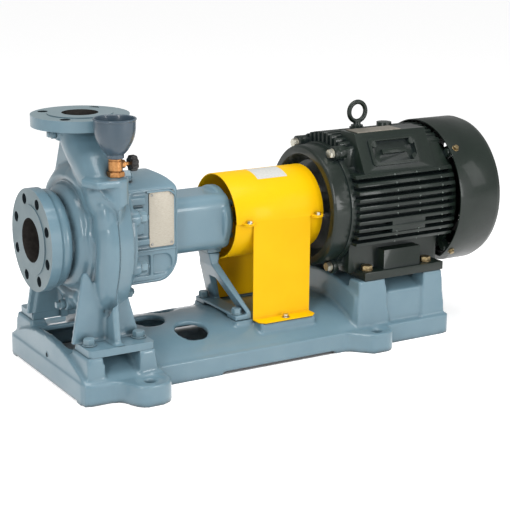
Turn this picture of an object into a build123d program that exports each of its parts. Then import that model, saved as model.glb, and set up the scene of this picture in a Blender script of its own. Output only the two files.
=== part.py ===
from build123d import *
from math import cos, radians, sin
import os

# End-suction centrifugal pump with its motor on one cast base, in millimetres.
# While it is built, X runs along the shaft from the suction flange face towards the motor,
# Y crosses the shaft and Z is up from the floor. The finished pieces are moved so that the
# origin lies on the floor under the middle of the whole set.

# Shaft line, walls and seats
shaft_height = 262.0
pump_centre_height = 180.0
motor_centre_height = 132.0
wall_cast = 9.0
fit_gap = 0.3

# Suction and discharge flanges
suction_to_discharge = 100.0
discharge_rise = 220.0
suction_flange_d = 185.0
suction_bore_d = 80.0
suction_pcd = 150.0
suction_face_d = 126.0
suction_holes = 8
discharge_flange_d = 175.0
discharge_bore_d = 65.0
core_step = 1.2
discharge_pcd = 140.0
discharge_face_d = 116.0
discharge_holes = 4
flange_hole_d = 19.0
flange_t = 20.0
raised_face_t = 2.0

# Volute casing
channel_front = 64.0
channel_crest = 102.0
channel_inner_r = 93.0
channel_round = 34.0
scroll_far_r = 132.0
scroll_low_r = 138.0
scroll_near_r = 146.0
scroll_top_r = 153.0
casing_back = 136.0
channel_rear_drop = 12.0
cover_seat_r = 133.0
cover_seat_t = 9.0
chamber_r = 106.0
web_t = 14.0

# Tappings: gauge under the discharge flange, drain under the casing
gauge_x = 54.0
gauge_y = 6.0
gauge_drop = 36.0
drain_x = 60.0
drain_drop = 126.0

# Pump feet
pump_foot_bolts_x = 95.0
pump_foot_bolts_y = 250.0
pump_foot_length = 125.0
pump_foot_half_width = 160.0
pump_foot_t = 13.0
foot_rib_x = 92.0
foot_rib_t = 13.0
gusset_y = 96.0
gusset_t = 13.0

# Priming ledge, cock and cup
cock_x = 107.0
cock_y = -128.0
ledge_top = 390.0
ledge_t = 13.0
cock_body_r = 12.5
cock_body_height = 31.0
cock_axis_rise = 20.0
cock_arm_length = 18.0
spindle_r = 3.4
knob_r = 14.5
knob_t = 13.0
knob_from_cock = 26.0
cup_r = 37.5
cup_height = 69.0
cup_wall = 3.5

# Lantern bracket and bearing housing
cover_r = 128.0
cover_t = 13.7
cover_pcd = 232.0
cover_studs = 8
cover_ear_r = 15.0
cover_ear_t = 22.0
nut_pocket_r = 13.5
nut_pocket_depth = 18.0
lantern_back = 252.0
lantern_half_width = 78.0
lantern_half_height = 88.0
lantern_crown = 103.0
lantern_edge_r = 10.0
lantern_spare = 0.5
window_x = 220.0
window_z = 292.5
window_length = 50.0
window_rise = 105.0
plate_t = 1.5
housing_half = 53.0
housing_corner = 24.0
housing_back = 374.0
housing_flange_r = 62.0
pump_shaft_d = 28.0

# Support leg under the bearing housing
leg_x = 390.0
leg_pad_z = 76.0
leg_top_drop = 64.0
leg_top_half = 22.0
leg_foot_half = 79.0
leg_foot_t = 10.0
leg_bolts_y = 130.0

# Base casting
base_left = 19.0
wide_right = 175.0
base_right = 832.0
wide_half = 176.0
narrow_half = 142.0
skirt_height = 39.0
skirt_step = 4.0
wide_crown = 82.0
narrow_crown = 80.0
block_front = 604.0
block_half = 131.0
block_crown = 127.0
block_shoulder = 94.0
draft = 4.0
front_ear_x = 137.0
front_ear_y = 190.0
front_ear_r = 35.0
rear_ear_x = 645.0
rear_ear_y = 152.0
rear_ear_r = 29.0
ear_hole_d = 20.0
ear_drop = 3.0
relief_x0 = 310.0
relief_x1 = 557.0
relief_height = 5.0
well_x0 = 38.0
well_x1 = 150.0
well_half = 72.0
deck_hole_r = 31.0
pair_hole_x = 284.0
pair_hole_y = 66.0
single_hole_x = 228.0
hole_rim = 5.0
hole_rim_height = 2.5

# Coupling and its guard
coupling_d = 112.0
coupling_flange_t = 18.0
coupling_gap = 8.0
guard_front = 372.0
guard_back = 562.0
guard_r = 82.5
guard_t = 2.0
guard_leg_front = 408.0
guard_leg_back = 533.0
guard_foot_out = 112.0
guard_pad_z = 73.0
guard_tab_out = 12.0

# Motor
motor_shoulder = 559.0
motor_foot_x = 648.0
motor_foot_pitch_x = 140.0
motor_foot_pitch_y = 216.0
motor_foot_t = 16.0
motor_pad_y = 92.0
motor_shaft_d = 38.0
motor_shaft_length = 80.0
shield_r = 118.0
shield_front = 565.0
shield_bolt_r = 128.5
shield_bolt_angle = 60.0
shield_ear_r = 14.0
shield_ear_front = 592.0
frame_front = 601.0
frame_back = 838.0
frame_core_r = 113.0
frame_top_r = 141.0
fin_tip_r = 133.0
fin_pitch = 14.5
fin_t = 6.0
fin_front = 611.0
name_pad_z = 409.0
name_pad_y0 = -74.0
name_pad_y1 = -28.0
facet_low_y = -113.0
facet_low_z = 337.0
facet_x0 = 634.0
facet_x1 = 800.0
bed_depth = 4.0
eye_x = 691.0
eye_boss_z = 407.0
cowl_front = 842.0
cowl_r = 147.0
cowl_back = 952.0
cowl_t = 2.5
cowl_flat_z = 143.0
cowl_lug_r = 7.0
fan_shaft_r = 12.0
box_x0 = 700.0
box_x1 = 812.0
box_y = 150.0
box_z0 = 272.0
box_z1 = 368.0
box_seat_r = 122.0
gland_y = 126.0
gland_z = 320.0

# Values that follow from those above
pump_pad_z = shaft_height - pump_centre_height
motor_pad_z = shaft_height - motor_centre_height
discharge_z = shaft_height + discharge_rise
neck_x = suction_to_discharge
gauge_z = discharge_z - gauge_drop
drain_z = shaft_height - drain_drop
cock_axis_z = ledge_top + cock_axis_rise
knob_x = cock_x + knob_from_cock
cover_back = casing_back + cover_t
ear_back = casing_back + cover_ear_t
shaft_gap_x = motor_shoulder - motor_shaft_length
leg_bolt_x = leg_x - 8
overall_length = cowl_back
origin_x = overall_length / 2


def cyl_x(x0, x1, r, y=0.0, z=shaft_height):
    """Round bar along the shaft line from x0 to x1."""
    return Pos((x0 + x1) / 2, y, z) * Rot(0, 90, 0) * Cylinder(r, x1 - x0)


def cyl_z(z0, z1, r, x, y):
    """Upright round bar."""
    return Pos(x, y, (z0 + z1) / 2) * Cylinder(r, z1 - z0)


def block(x0, x1, y0, y1, z0, z1):
    """Box between two corners."""
    return Pos((x0 + x1) / 2, (y0 + y1) / 2, (z0 + z1) / 2) * Box(x1 - x0, y1 - y0, z1 - z0)


def cross_plane(x, z=0.0):
    """Plane square to the shaft; a sketch on it is drawn in Y and Z."""
    return Plane(origin=(x, 0, z), x_dir=(0, 1, 0), z_dir=(1, 0, 0))


def side_plane(y):
    """Upright plane along the shaft, facing -Y; a sketch on it is drawn in X and Z."""
    return Plane(origin=(0, y, 0), x_dir=(1, 0, 0), z_dir=(0, -1, 0))


def outline(*points):
    return make_face(Polyline(*points, close=True))


def turned(*points):
    """Body turned about the shaft line from (x, radius) points."""
    return Pos(0, 0, shaft_height) * revolve(Rot(90, 0, 0) * outline(*points), Axis.X)


def both_sides(near):
    """A piece and its mirror image on the far side of the shaft."""
    return [near, mirror(near, about=Plane.XZ)]


def drafted_block(x0, x1, y0, y1, z0, z1, corner=0.0):
    """Cast block whose walls lean in by the draft; the sizes are those at its top."""
    spread = (z1 - z0) * sin(radians(draft)) / cos(radians(draft))
    length, width = x1 - x0 + 2 * spread, y1 - y0 + 2 * spread
    plan = RectangleRounded(length, width, corner) if corner else Rectangle(length, width)
    return Pos((x0 + x1) / 2, (y0 + y1) / 2, z0) * extrude(plan, z1 - z0, taper=draft)


def ring_places(count, radius, first=0.0):
    """Places on a circle about the shaft line, as (y, z)."""
    angles = [radians(first + 360 / count * i) for i in range(count)]
    return [(radius * cos(a), shaft_height + radius * sin(a)) for a in angles]


def hex_bolt(across, head, washer_r, washer_t):
    """Hexagon head on its washer, standing on the plane z = 0."""
    washer = Pos(0, 0, washer_t / 2) * Cylinder(washer_r, washer_t)
    hexagon = extrude(RegularPolygon(across / 2, 6, major_radius=False), head)
    return washer + Pos(0, 0, washer_t) * hexagon


def bolts_on_x(places, x, toward, across, head, washer_r, washer_t):
    """Bolt heads on a face square to the shaft; toward is +1 or -1 along X."""
    turn = Rot(0, 90 * toward, 0)
    return [Pos(x, y, z) * turn * hex_bolt(across, head, washer_r, washer_t) for y, z in places]


def crowned(half, edge_z, crown_z, x0, x1, bottom):
    """Slab with upright sides up to edge_z and one arc over the crown."""
    edges = [
        Line((-half, bottom), (half, bottom)),
        Line((half, bottom), (half, edge_z)),
        ThreePointArc((half, edge_z), (0, crown_z), (-half, edge_z)),
        Line((-half, edge_z), (-half, bottom)),
    ]
    return extrude(cross_plane(x0) * make_face(edges), x1 - x0)


def deck(inset, rise=0.0):
    """Crowned deck of the base, wide under the pump; inset is a wall thickness or nothing."""
    bottom = -1.0 if inset else 0.0
    wide = crowned(wide_half - skirt_step - inset, skirt_height - inset, wide_crown - inset + rise,
                   base_left + 3 + inset, wide_right - inset, bottom)
    narrow = crowned(narrow_half - skirt_step - inset, skirt_height - inset, narrow_crown - inset + rise,
                     wide_right - inset - 20, block_front + 20, bottom)
    return wide + narrow


def motor_block(inset):
    """Drafted block under the motor with an arched top."""
    bottom = -1.0 if inset else 0.0
    lean = (motor_pad_z + 2) * sin(radians(draft))
    walls = drafted_block(block_front + lean + inset, base_right - 6 - lean - inset,
                          -block_half + lean + inset, block_half - lean - inset,
                          bottom, motor_pad_z + 2, corner=12)
    arch = crowned(block_half + 5, block_shoulder - inset, block_crown - inset,
                   block_front - 20, base_right, bottom)
    return walls & arch


def foot_flange(inset):
    """Flange round the foot of the base, with an ear beside it for each foundation bolt."""
    if inset:
        wide = block(base_left + inset, wide_right - inset, -wide_half + inset, wide_half - inset,
                     -1, skirt_height - inset)
        return wide + block(wide_right - inset - 30, base_right - inset, -narrow_half + inset,
                            narrow_half - inset, -1, skirt_height - inset)
    front_out = front_ear_y + front_ear_r
    rear_out = rear_ear_y + rear_ear_r
    near = [
        (base_left, -wide_half, 20),
        (front_ear_x - front_ear_r - 16, -wide_half, 22),
        (front_ear_x - front_ear_r + 3, -front_out, 26),
        (wide_right - 1, -front_out, 33),
        (wide_right - 1, -narrow_half, 4),
        (rear_ear_x - rear_ear_r - 34, -narrow_half, 26),
        (rear_ear_x - rear_ear_r + 3, -rear_out, 22),
        (rear_ear_x + rear_ear_r + 1, -rear_out, 27),
        (rear_ear_x + rear_ear_r + 1, -narrow_half, 5),
        (base_right, -narrow_half, 16),
    ]
    loop = near + [(x, -y, r) for x, y, r in reversed(near)]
    wire = FilletPolyline(*[(x, y) for x, y, r in loop], radius=[r for x, y, r in loop], close=True)
    return extrude(make_face(wire), skirt_height)


def pump_pads():
    """Two machined pads on each side that carry the pump's feet."""
    first = pump_foot_bolts_x / 2
    pads = []
    for middle in (suction_to_discharge - first - 5, suction_to_discharge + first):
        near = drafted_block(middle - 15, middle + 15, -163, -motor_pad_y, skirt_height - 2, pump_pad_z)
        pads += both_sides(near)
    return pads


def motor_pads():
    """Two machined pads on each side that carry the motor's feet, standing proud of the block."""
    pads = []
    for x0, x1 in ((motor_foot_x - 30, motor_foot_x + 32), (motor_foot_x + 124, motor_foot_x + 168)):
        near = drafted_block(x0, x1, -128, -motor_pad_y, skirt_height - 2, motor_pad_z)
        pads += both_sides(near)
    return pads


def small_pads():
    """Raised seats for the support leg and for the guard's feet."""
    leg = block(leg_x - 19, leg_x + 17, -82, -46, 50, leg_pad_z)
    guard = block(guard_leg_front + 2, guard_leg_back - 2, -guard_foot_out + 2, -84, 45, guard_pad_z)
    return both_sides(leg) + both_sides(guard)


def end_wall_pocket():
    """Shallow panels in the end wall: the arch keeps a bead, and the drain keeps its pad."""
    panel = crowned(wide_half - skirt_step - 10, skirt_height - 4, wide_crown - 9,
                    base_left + 2, base_left + 5.5, skirt_height + 2)
    return panel - block(base_left, base_left + 10, -26, 20, 0, 100)


def foot_reliefs():
    """Stretches of the foot that stand clear of the floor."""
    middle = block(relief_x0, relief_x1, -200, 200, -1, relief_height)
    end = block(base_left - 1, base_left + wall_cast + 1, -140, 140, -1, 3)
    return [middle, end]


def base_frame():
    """One-piece cast base, open underneath, with its pads, hand holes and foundation ears."""
    body = deck(0) + motor_block(0) + foot_flange(0) + pump_pads() + motor_pads() + small_pads()
    body -= foot_flange(wall_cast)
    body -= deck(wall_cast)
    body -= motor_block(wall_cast)
    holes = [(pair_hole_x, pair_hole_y), (pair_hole_x, -pair_hole_y), (single_hole_x, 0)]
    rims = deck(0, hole_rim_height) & [cyl_z(40, 100, deck_hole_r + hole_rim, x, y) for x, y in holes]
    body += rims
    body -= [cyl_z(-1, 100, deck_hole_r, x, y) for x, y in holes]
    well = Pos((well_x0 + well_x1) / 2, 0, 0) * RectangleRounded(well_x1 - well_x0, 2 * well_half, 10)
    body -= Pos(0, 0, skirt_height) * extrude(well, 60)
    body -= end_wall_pocket()
    body -= cyl_x(base_left - 1, base_left + 20, 4, -5, 47)
    for x, y, r in ((front_ear_x, front_ear_y, front_ear_r), (rear_ear_x, rear_ear_y, rear_ear_r)):
        body -= both_sides(cyl_z(skirt_height - ear_drop, 60, r - 9, x, -y - 4))
        body -= both_sides(cyl_z(-1, 60, ear_hole_d / 2, x, -y))
    body -= foot_reliefs()
    return body


def scroll_outline():
    """Scroll outline across the shaft: four arcs that open from the far side to the near side."""
    half = cos(radians(45))
    z = shaft_height
    far, low, near, top = scroll_far_r, scroll_low_r, scroll_near_r, scroll_top_r
    arcs = [
        ThreePointArc((0, z + far), (far * half, z + far * half), (far, z)),
        ThreePointArc((far, z), (low * half, z - low * half), (0, z - low)),
        ThreePointArc((0, z - low), (-near * half, z - near * half), (-near, z)),
        ThreePointArc((-near, z), (-top * half, z + top * half), (0, z + far)),
    ]
    return make_face(arcs)


def scroll():
    """Scroll channel: rounded towards the suction, and drawn in towards its rear edge."""
    front = extrude(cross_plane(channel_front) * scroll_outline(), channel_crest - channel_front)
    front = fillet(front.edges().group_by(Axis.X)[0], channel_round)
    hollow = make_face([
        Line((channel_front - 4, 0), (channel_front - 4, channel_inner_r + 27)),
        Line((channel_front - 4, channel_inner_r + 27), (channel_front, channel_inner_r + 25)),
        ThreePointArc((channel_front, channel_inner_r + 25), (channel_front + 5, channel_inner_r + 9),
                      (channel_front + 16, channel_inner_r)),
        Line((channel_front + 16, channel_inner_r), (channel_front + 16, 0)),
        Line((channel_front + 16, 0), (channel_front - 4, 0)),
    ])
    front -= Pos(0, 0, shaft_height) * revolve(Rot(90, 0, 0) * hollow, Axis.X)
    small = make_face(offset(scroll_outline().face().outer_wire(), amount=-channel_rear_drop).edges())
    rear = loft([cross_plane(channel_crest) * scroll_outline(), cross_plane(casing_back) * small])
    return front + rear + cyl_x(casing_back - cover_seat_t, casing_back, cover_seat_r)


def suction_branch():
    """Flange, hub and the ring where the branch runs into the scroll."""
    rim = suction_flange_d / 2
    face = suction_face_d / 2
    back = flange_t + raised_face_t
    return turned((0, 0), (0, face), (raised_face_t, face), (raised_face_t, rim), (back, rim),
                  (back + 4, 87), (42, 77), (46, 70), (50, 72), (58, 86), (70, 94),
                  (channel_front + 17, channel_inner_r), (channel_front + 22, 90), (channel_front + 22, 0))


def neck_section(drop_y, z, width, depth, corner, lean=(0, 0, 1), shift=0.0):
    """Section of the swan neck, square to its own run."""
    place = Plane(origin=(neck_x + shift, drop_y, z), x_dir=(1, 0, 0), z_dir=lean)
    return place * RectangleRounded(width, depth, corner)


def swan_neck():
    """Neck from the near side of the scroll up and across to the discharge flange."""
    z = shaft_height
    return loft([
        neck_section(-98, z - 40, 36, 44, 17, shift=-4),
        neck_section(-113, z + 36, 56, 60, 26, shift=-8),
        neck_section(-110, z + 92, 66, 66, 30, (0, 0.45, 1), -6),
        neck_section(-52, z + 140, 76, 76, 36, (0, 1, 0.85)),
        neck_section(-8, z + 180, 80, 80, 39, (0, 0.35, 1)),
        neck_section(0, discharge_z - flange_t + 2, 84, 84, 41),
    ])


def discharge_way():
    """Water way through the neck."""
    z = shaft_height

    def bore(drop_y, rise, r, lean=(0, 0, 1), shift=0.0):
        place = Plane(origin=(neck_x + shift, drop_y, z + rise), x_dir=(1, 0, 0), z_dir=lean)
        return place * Circle(r)

    return loft([
        bore(-104, 10, 19, shift=-6),
        bore(-107, 90, 23, (0, 0.45, 1), -5),
        bore(-50, 140, 28, (0, 1, 0.85)),
        bore(-6, 178, 31, (0, 0.3, 1)),
        bore(0, discharge_rise - flange_t + 2, discharge_bore_d / 2 - core_step),
    ])


def neck_web():
    """Web that ties the neck to the far top of the scroll."""
    web = outline((-70, 300), (136, 300), (136, 316), (124, 335), (84, 367), (62, 417), (48, 455), (-20, 455))
    return extrude(cross_plane(neck_x - 2 - web_t) * web, web_t)


def priming_ledge():
    """Flat ledge with a tapped boss on the near shoulder of the neck."""
    plan = outline((cock_x - 61, cock_y + 10), (cock_x - 45, cock_y - 26), (cock_x, cock_y - 26),
                   (cock_x + 22, cock_y), (cock_x, cock_y + 38), (cock_x - 37, cock_y + 44))
    plate = Pos(0, 0, ledge_top - 2 - ledge_t) * extrude(plan, ledge_t)
    plate = fillet(plate.edges().filter_by(Axis.Z), 7)
    ledge = plate + cyl_z(ledge_top - 50, ledge_top - 2, 22, cock_x, cock_y)
    return ledge + cyl_z(ledge_top - 50, ledge_top, cock_body_r + 1.5, cock_x, cock_y)


def pump_foot():
    """Near foot: plate, gusset along the shaft and the rib across it."""
    first, last = neck_x - pump_foot_length / 2, neck_x + pump_foot_length / 2
    top = pump_pad_z + pump_foot_t
    foot = block(first, last, -pump_foot_half_width, -gusset_y - 4, pump_pad_z, top)
    foot = fillet(foot.edges().filter_by(Axis.Z).group_by(Axis.Y)[0], 8)
    gusset = outline((first, pump_pad_z), (last - 2, pump_pad_z), (last - 34, 200), (first + 28, 222))
    foot += extrude(side_plane(-gusset_y) * gusset, gusset_t)
    rib = outline((-gusset_y + 6, pump_pad_z), (-pump_foot_half_width + 2, pump_pad_z),
                  (-pump_foot_half_width + 2, top + 3), (-132, 210), (-gusset_y + 6, 250))
    return foot + extrude(cross_plane(foot_rib_x) * rib, foot_rib_t)


def volute_casing():
    """Casing in one casting: suction branch, scroll, swan neck, flanges, feet and bosses."""
    flange_low = discharge_z - raised_face_t - flange_t
    body = scroll() + suction_branch() + swan_neck() + neck_web()
    body += cyl_z(flange_low, discharge_z - raised_face_t, discharge_flange_d / 2, neck_x, 0)
    body += cyl_z(flange_low, discharge_z, discharge_face_d / 2, neck_x, 0)
    body += priming_ledge()
    body -= cyl_z(ledge_top, ledge_top + 60, cock_body_r + 2.5, cock_x, cock_y)
    body += cyl_x(gauge_x + fit_gap, neck_x - 20, 12, gauge_y, gauge_z)
    body += cyl_x(drain_x + fit_gap, channel_front + 20, 13, 0, drain_z)
    body += both_sides(pump_foot())
    body -= cyl_x(-1, channel_front + 26, suction_bore_d / 2)
    body -= cyl_x(channel_front + 20, casing_back + 1, chamber_r)
    body -= discharge_way()
    body -= cyl_z(flange_low - 2.1, discharge_z + 1, discharge_bore_d / 2, neck_x, 0)
    for y, z in ring_places(suction_holes, suction_pcd / 2, 180 / suction_holes):
        body -= cyl_x(-1, flange_t + raised_face_t + 1, flange_hole_d / 2, y, z)
    for i in range(discharge_holes):
        a = radians(360 / discharge_holes * (i + 0.5))
        x, y = neck_x + discharge_pcd / 2 * cos(a), discharge_pcd / 2 * sin(a)
        body -= cyl_z(flange_low - 1, discharge_z + 1, flange_hole_d / 2, x, y)
    return body


def lantern_profile():
    """Side view of the lantern: a square front, a round top corner and a fuller bottom one."""
    low = shaft_height - lantern_half_height - lantern_spare
    high = shaft_height + lantern_crown + lantern_spare
    side = make_face(Polyline((cover_back - 2, low), (lantern_back, low), (lantern_back, high),
                              (cover_back - 2, high), close=True))
    rear = side.vertices().group_by(Axis.X)[-1].sort_by(Axis.Y)
    side = fillet(rear[0], 44)
    rear = side.vertices().group_by(Axis.X)[-1].sort_by(Axis.Y)
    return fillet(rear[-1], 20)


def lantern_section():
    """Section across the lantern: upright sides, a flat bottom and an arched top."""
    half, low = lantern_half_width, shaft_height - lantern_half_height
    edge, crown = shaft_height + lantern_half_height - 2, shaft_height + lantern_crown
    walls = Polyline((-half, edge), (-half, low), (half, low), (half, edge))
    section = make_face(walls.edges() + [ThreePointArc((half, edge), (0, crown), (-half, edge))])
    return fillet(section.vertices(), lantern_edge_r)


def lantern_recesses():
    """Shallow recesses in the near side of the lantern: window bed and two panels under it."""
    wall = -lantern_half_width
    low = window_z - window_rise / 2
    bed = block(cover_back + 10, lantern_back - 7, wall - 1, wall + 2.5, low - 2, low + window_rise)
    bed = fillet(bed.edges().filter_by(Axis.Y), 6)
    left = block(cover_back + 14, 196, wall - 1, wall + 4, shaft_height - 72, low - 12)
    right = block(202, lantern_back - 12, wall - 1, wall + 4, shaft_height - 72, low - 12)
    right = fillet(right.edges().filter_by(Axis.Y).group_by(Axis.X)[-1], 18)
    window = block(window_x - window_length / 2 + 5, window_x + window_length / 2 - 5, wall - 1, wall + 20,
                   low + 6, low + window_rise - 6)
    return [bed, left, right, fillet(window.edges().filter_by(Axis.Y), 8)]


def lantern_bracket():
    """Casing cover with the square lantern behind it that carries the bearing housing."""
    front = casing_back + fit_gap
    body = turned((front, 0), (front, cover_r), (cover_back - 3, cover_r), (cover_back, cover_r - 3),
                  (cover_back, 0))
    lantern = extrude(side_plane(lantern_half_width) * lantern_profile(), 2 * lantern_half_width)
    lantern &= extrude(cross_plane(cover_back - 3) * lantern_section(), lantern_back - cover_back + 3)
    rear = lantern.edges().filter_by(lambda e: e.center().X > lantern_back - 0.5)
    body += fillet(rear, 5)
    for y, z in ring_places(cover_studs, cover_pcd / 2, 22.5):
        body += cyl_x(front, ear_back, cover_ear_r, y, z)
        body -= cyl_x(ear_back, ear_back + nut_pocket_depth, nut_pocket_r, y, z)
    chamber_half = shaft_height - 74, shaft_height + 74
    body -= block(cover_back + 10, lantern_back - 14, -lantern_half_width + 9, lantern_half_width - 9,
                  *chamber_half)
    for near in lantern_recesses():
        body -= both_sides(near)
    body -= block(window_x - 24, window_x + 20, -30, 30, shaft_height - 100, shaft_height - 60)
    return body - cyl_x(casing_back, lantern_back + 1, pump_shaft_d / 2 + 6)


def window_plates():
    """Blank sheet covers that close the side windows of the lantern, one each side."""
    wall = -lantern_half_width + 2.5 - fit_gap
    near = block(window_x - window_length / 2, window_x + window_length / 2, wall - plate_t, wall,
                 window_z - window_rise / 2 + 1, window_z + window_rise / 2 - 3)
    return Compound(both_sides(fillet(near.edges().filter_by(Axis.Y), 5)))


def bearing_housing():
    """Long bearing housing with flat sides and the pad for the support leg."""
    front = lantern_back + fit_gap
    section = RectangleRounded(2 * housing_half, 2 * housing_half, housing_corner)
    body = extrude(cross_plane(front, shaft_height) * section, housing_back - front)
    body += turned((front, 0), (front, housing_half + 11), (front + 5, housing_half + 8),
                   (front + 10, housing_half - 2), (front + 10, 0))
    body += turned((housing_back - 22, 0), (housing_back - 22, housing_half - 2),
                   (housing_back - 14, housing_flange_r), (housing_back, housing_flange_r), (housing_back, 0))
    body += block(leg_x - 46, leg_x - 18, -leg_top_half, leg_top_half, shaft_height - leg_top_drop,
                  shaft_height - housing_half + 8)
    return body - cyl_x(front - 1, housing_back + 1, pump_shaft_d / 2 + 6)


def bearing_cover():
    """Cover on the coupling end of the bearing housing, with its four screws."""
    front = housing_back + fit_gap
    body = turned((front, 0), (front, 50), (front + 8, 50), (front + 10, 36), (front + 18, 32),
                  (front + 18, 0))
    body += bolts_on_x(ring_places(4, 42, 45), front + 8, 1, 13, 6, 8, 1)
    return body - cyl_x(housing_back, housing_back + 30, pump_shaft_d / 2 + fit_gap)


def support_leg():
    """Cast leg under the rear of the bearing housing, bent back and spread to two feet."""
    top = shaft_height - leg_top_drop - fit_gap
    foot = leg_pad_z + fit_gap
    knee = 178.0
    side_view = outline((leg_x - 44, top), (leg_x - 20, top), (leg_x - 24, knee), (leg_x + 16, foot + 12),
                        (leg_x + 16, foot), (leg_x - 18, foot), (leg_x - 18, foot + leg_foot_t),
                        (leg_x + 7, foot + leg_foot_t), (leg_x - 38, knee - 6))
    front_view = outline((-leg_top_half, top), (-leg_top_half - 2, knee), (-leg_foot_half, foot + 14),
                         (-leg_foot_half, foot), (leg_foot_half, foot), (leg_foot_half, foot + 14),
                         (leg_top_half + 2, knee), (leg_top_half, top))
    between = outline((-44, foot + leg_foot_t), (-12, 145), (12, 145), (44, foot + leg_foot_t))
    body = extrude(side_plane(leg_foot_half) * side_view, 2 * leg_foot_half)
    body &= extrude(cross_plane(leg_x - 60) * front_view, 120)
    body -= extrude(cross_plane(leg_x - 60) * between, 120)
    return body - block(leg_x - 60, leg_x + 60, -46, 46, 0, narrow_crown + 1)


def cock_body():
    """Screw-down cock standing in the ledge's boss, with a side arm for its spindle."""
    z = ledge_top + fit_gap
    body = cyl_z(z, z + cock_body_height, cock_body_r, cock_x, cock_y)
    body += Pos(cock_x, cock_y, z) * extrude(RegularPolygon(cock_body_r + 1.4, 6), 9)
    body += cyl_x(cock_x, cock_x + cock_arm_length, spindle_r + 3.2, cock_y, cock_axis_z)
    return body - cyl_x(cock_x + 8, cock_x + cock_arm_length + 1, spindle_r + fit_gap, cock_y, cock_axis_z)


def cock_spindle():
    """Turned spindle that runs in the cock's side arm and carries the knob."""
    return cyl_x(cock_x + 10, knob_x + 9, spindle_r, cock_y, cock_axis_z)


def cock_knob():
    """Star knob on the cock's spindle; it turns about the spindle."""
    body = cyl_x(knob_x, knob_x + knob_t, knob_r, cock_y, cock_axis_z)
    body = chamfer(body.edges(), 2)
    for i in range(8):
        a = radians(45 * i)
        body -= cyl_x(knob_x - 1, knob_x + knob_t + 1, 3.2, cock_y + (knob_r + 1) * cos(a),
                      cock_axis_z + (knob_r + 1) * sin(a))
    return body - cyl_x(knob_x - 1, knob_x + 9, spindle_r, cock_y, cock_axis_z)


def priming_cup():
    """Cast funnel screwed on the cock, open at the top."""
    z = ledge_top + cock_body_height + 2 * fit_gap
    outside = [(0, 0), (15, 0), (15, 7), (24, 17), (33, 34), (36, 52), (cup_r - 1, cup_height - 3),
               (cup_r, cup_height - 3), (cup_r, cup_height), (0, cup_height)]
    inside = [(0, 12), (5, 12), (24 - cup_wall, 20), (33 - cup_wall, 35), (36 - cup_wall, 52),
              (cup_r - cup_wall, cup_height + 1), (0, cup_height + 1)]
    body = revolve(Rot(90, 0, 0) * outline(*outside), Axis.Z)
    body -= revolve(Rot(90, 0, 0) * outline(*inside), Axis.Z)
    return Pos(cock_x, cock_y, z) * (body - Pos(0, 0, 6) * Cylinder(4, 14))


def pipe_plug(length, r, across, head):
    """Square-headed pipe plug pointing along -X, with its collar at the origin."""
    plug = Pos(0, 0, length / 2) * Cylinder(r, length) + Pos(0, 0, length + head / 2) * Box(across, across, head)
    return Rot(0, -90, 0) * plug


def pump_shaft():
    return cyl_x(channel_front + 26, shaft_gap_x - 3, pump_shaft_d / 2)


def impeller():
    """Closed impeller: eye ring, two shrouds, hub and six vanes, seen through the suction bore."""
    r = chamber_r - 6
    hole = pump_shaft_d / 2 + fit_gap
    body = turned((92, hole), (92, 22), (100, 34), (104, r), (109, r), (114, 34), (128, 30), (128, hole))
    body += turned((86, 36), (86, 41), (92, 44), (98, r), (101, r), (96, 50), (92, 38))
    vane = outline((30, -2), (r - 4, 26), (r - 5, 30), (30, 3))
    for i in range(6):
        body += extrude(cross_plane(93, shaft_height) * (Rot(0, 0, 60 * i) * vane), 10)
    return body


def coupling_half(toward, shaft_d, hub_length):
    """Flange coupling half on one side of the gap; toward is -1 for the pump and +1 for the motor."""
    face = shaft_gap_x + toward * coupling_gap / 2
    flange_end = face + toward * coupling_flange_t
    hub_end = face + toward * hub_length
    hub = cyl_x(min(face, hub_end), max(face, hub_end), shaft_d / 2 + 14)
    hub += cyl_x(min(face, flange_end), max(face, flange_end), coupling_d / 2)
    return hub - cyl_x(min(face, hub_end) - 1, max(face, hub_end) + 1, shaft_d / 2 + fit_gap)


def drum(r, x0, x1):
    """Sheet drum about the shaft line."""
    ring = Circle(r) - Circle(r - guard_t)
    return extrude(cross_plane(x0, shaft_height) * ring, x1 - x0)


def seam_tab(x, r_in, z):
    """Rounded ear at the seam of the guard, on the near side."""
    out = guard_r + guard_tab_out
    plan = Pos(x, -(r_in + out) / 2) * Rectangle(24, out - r_in)
    plan = fillet(plan.vertices().group_by(Axis.Y)[0], 9)
    return Pos(0, 0, z) * extrude(plan, guard_t)


def guard_upper():
    """Sheet cover: half drum whose middle runs straight down as two legs with feet."""
    body = drum(guard_r, guard_front, guard_back)
    body -= block(guard_front - 1, guard_back + 1, -90, 90, shaft_height - 90, shaft_height)
    z = guard_pad_z + fit_gap
    leg = block(guard_leg_front, guard_leg_back, -guard_r, -guard_r + guard_t, z, shaft_height)
    foot = block(guard_leg_front, guard_leg_back, -guard_foot_out, -guard_r + guard_t, z, z + guard_t)
    foot = chamfer(foot.edges().filter_by(Axis.Z).group_by(Axis.Y)[0], 10)
    body += both_sides(leg) + both_sides(foot)
    for x in (guard_front + 24, guard_back - 16):
        body += both_sides(seam_tab(x, guard_r - guard_t, shaft_height))
    return body


def guard_lower():
    """Trough that closes the drum from below, hung on seam tabs."""
    r = guard_r - guard_t - 1
    z = shaft_height - fit_gap
    body = drum(r, guard_front, guard_back)
    body -= block(guard_front - 1, guard_back + 1, -90, 90, z, z + 90)
    for x in (guard_front + 24, guard_back - 16):
        body += both_sides(seam_tab(x, r - guard_t, z - guard_t))
    return body


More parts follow.
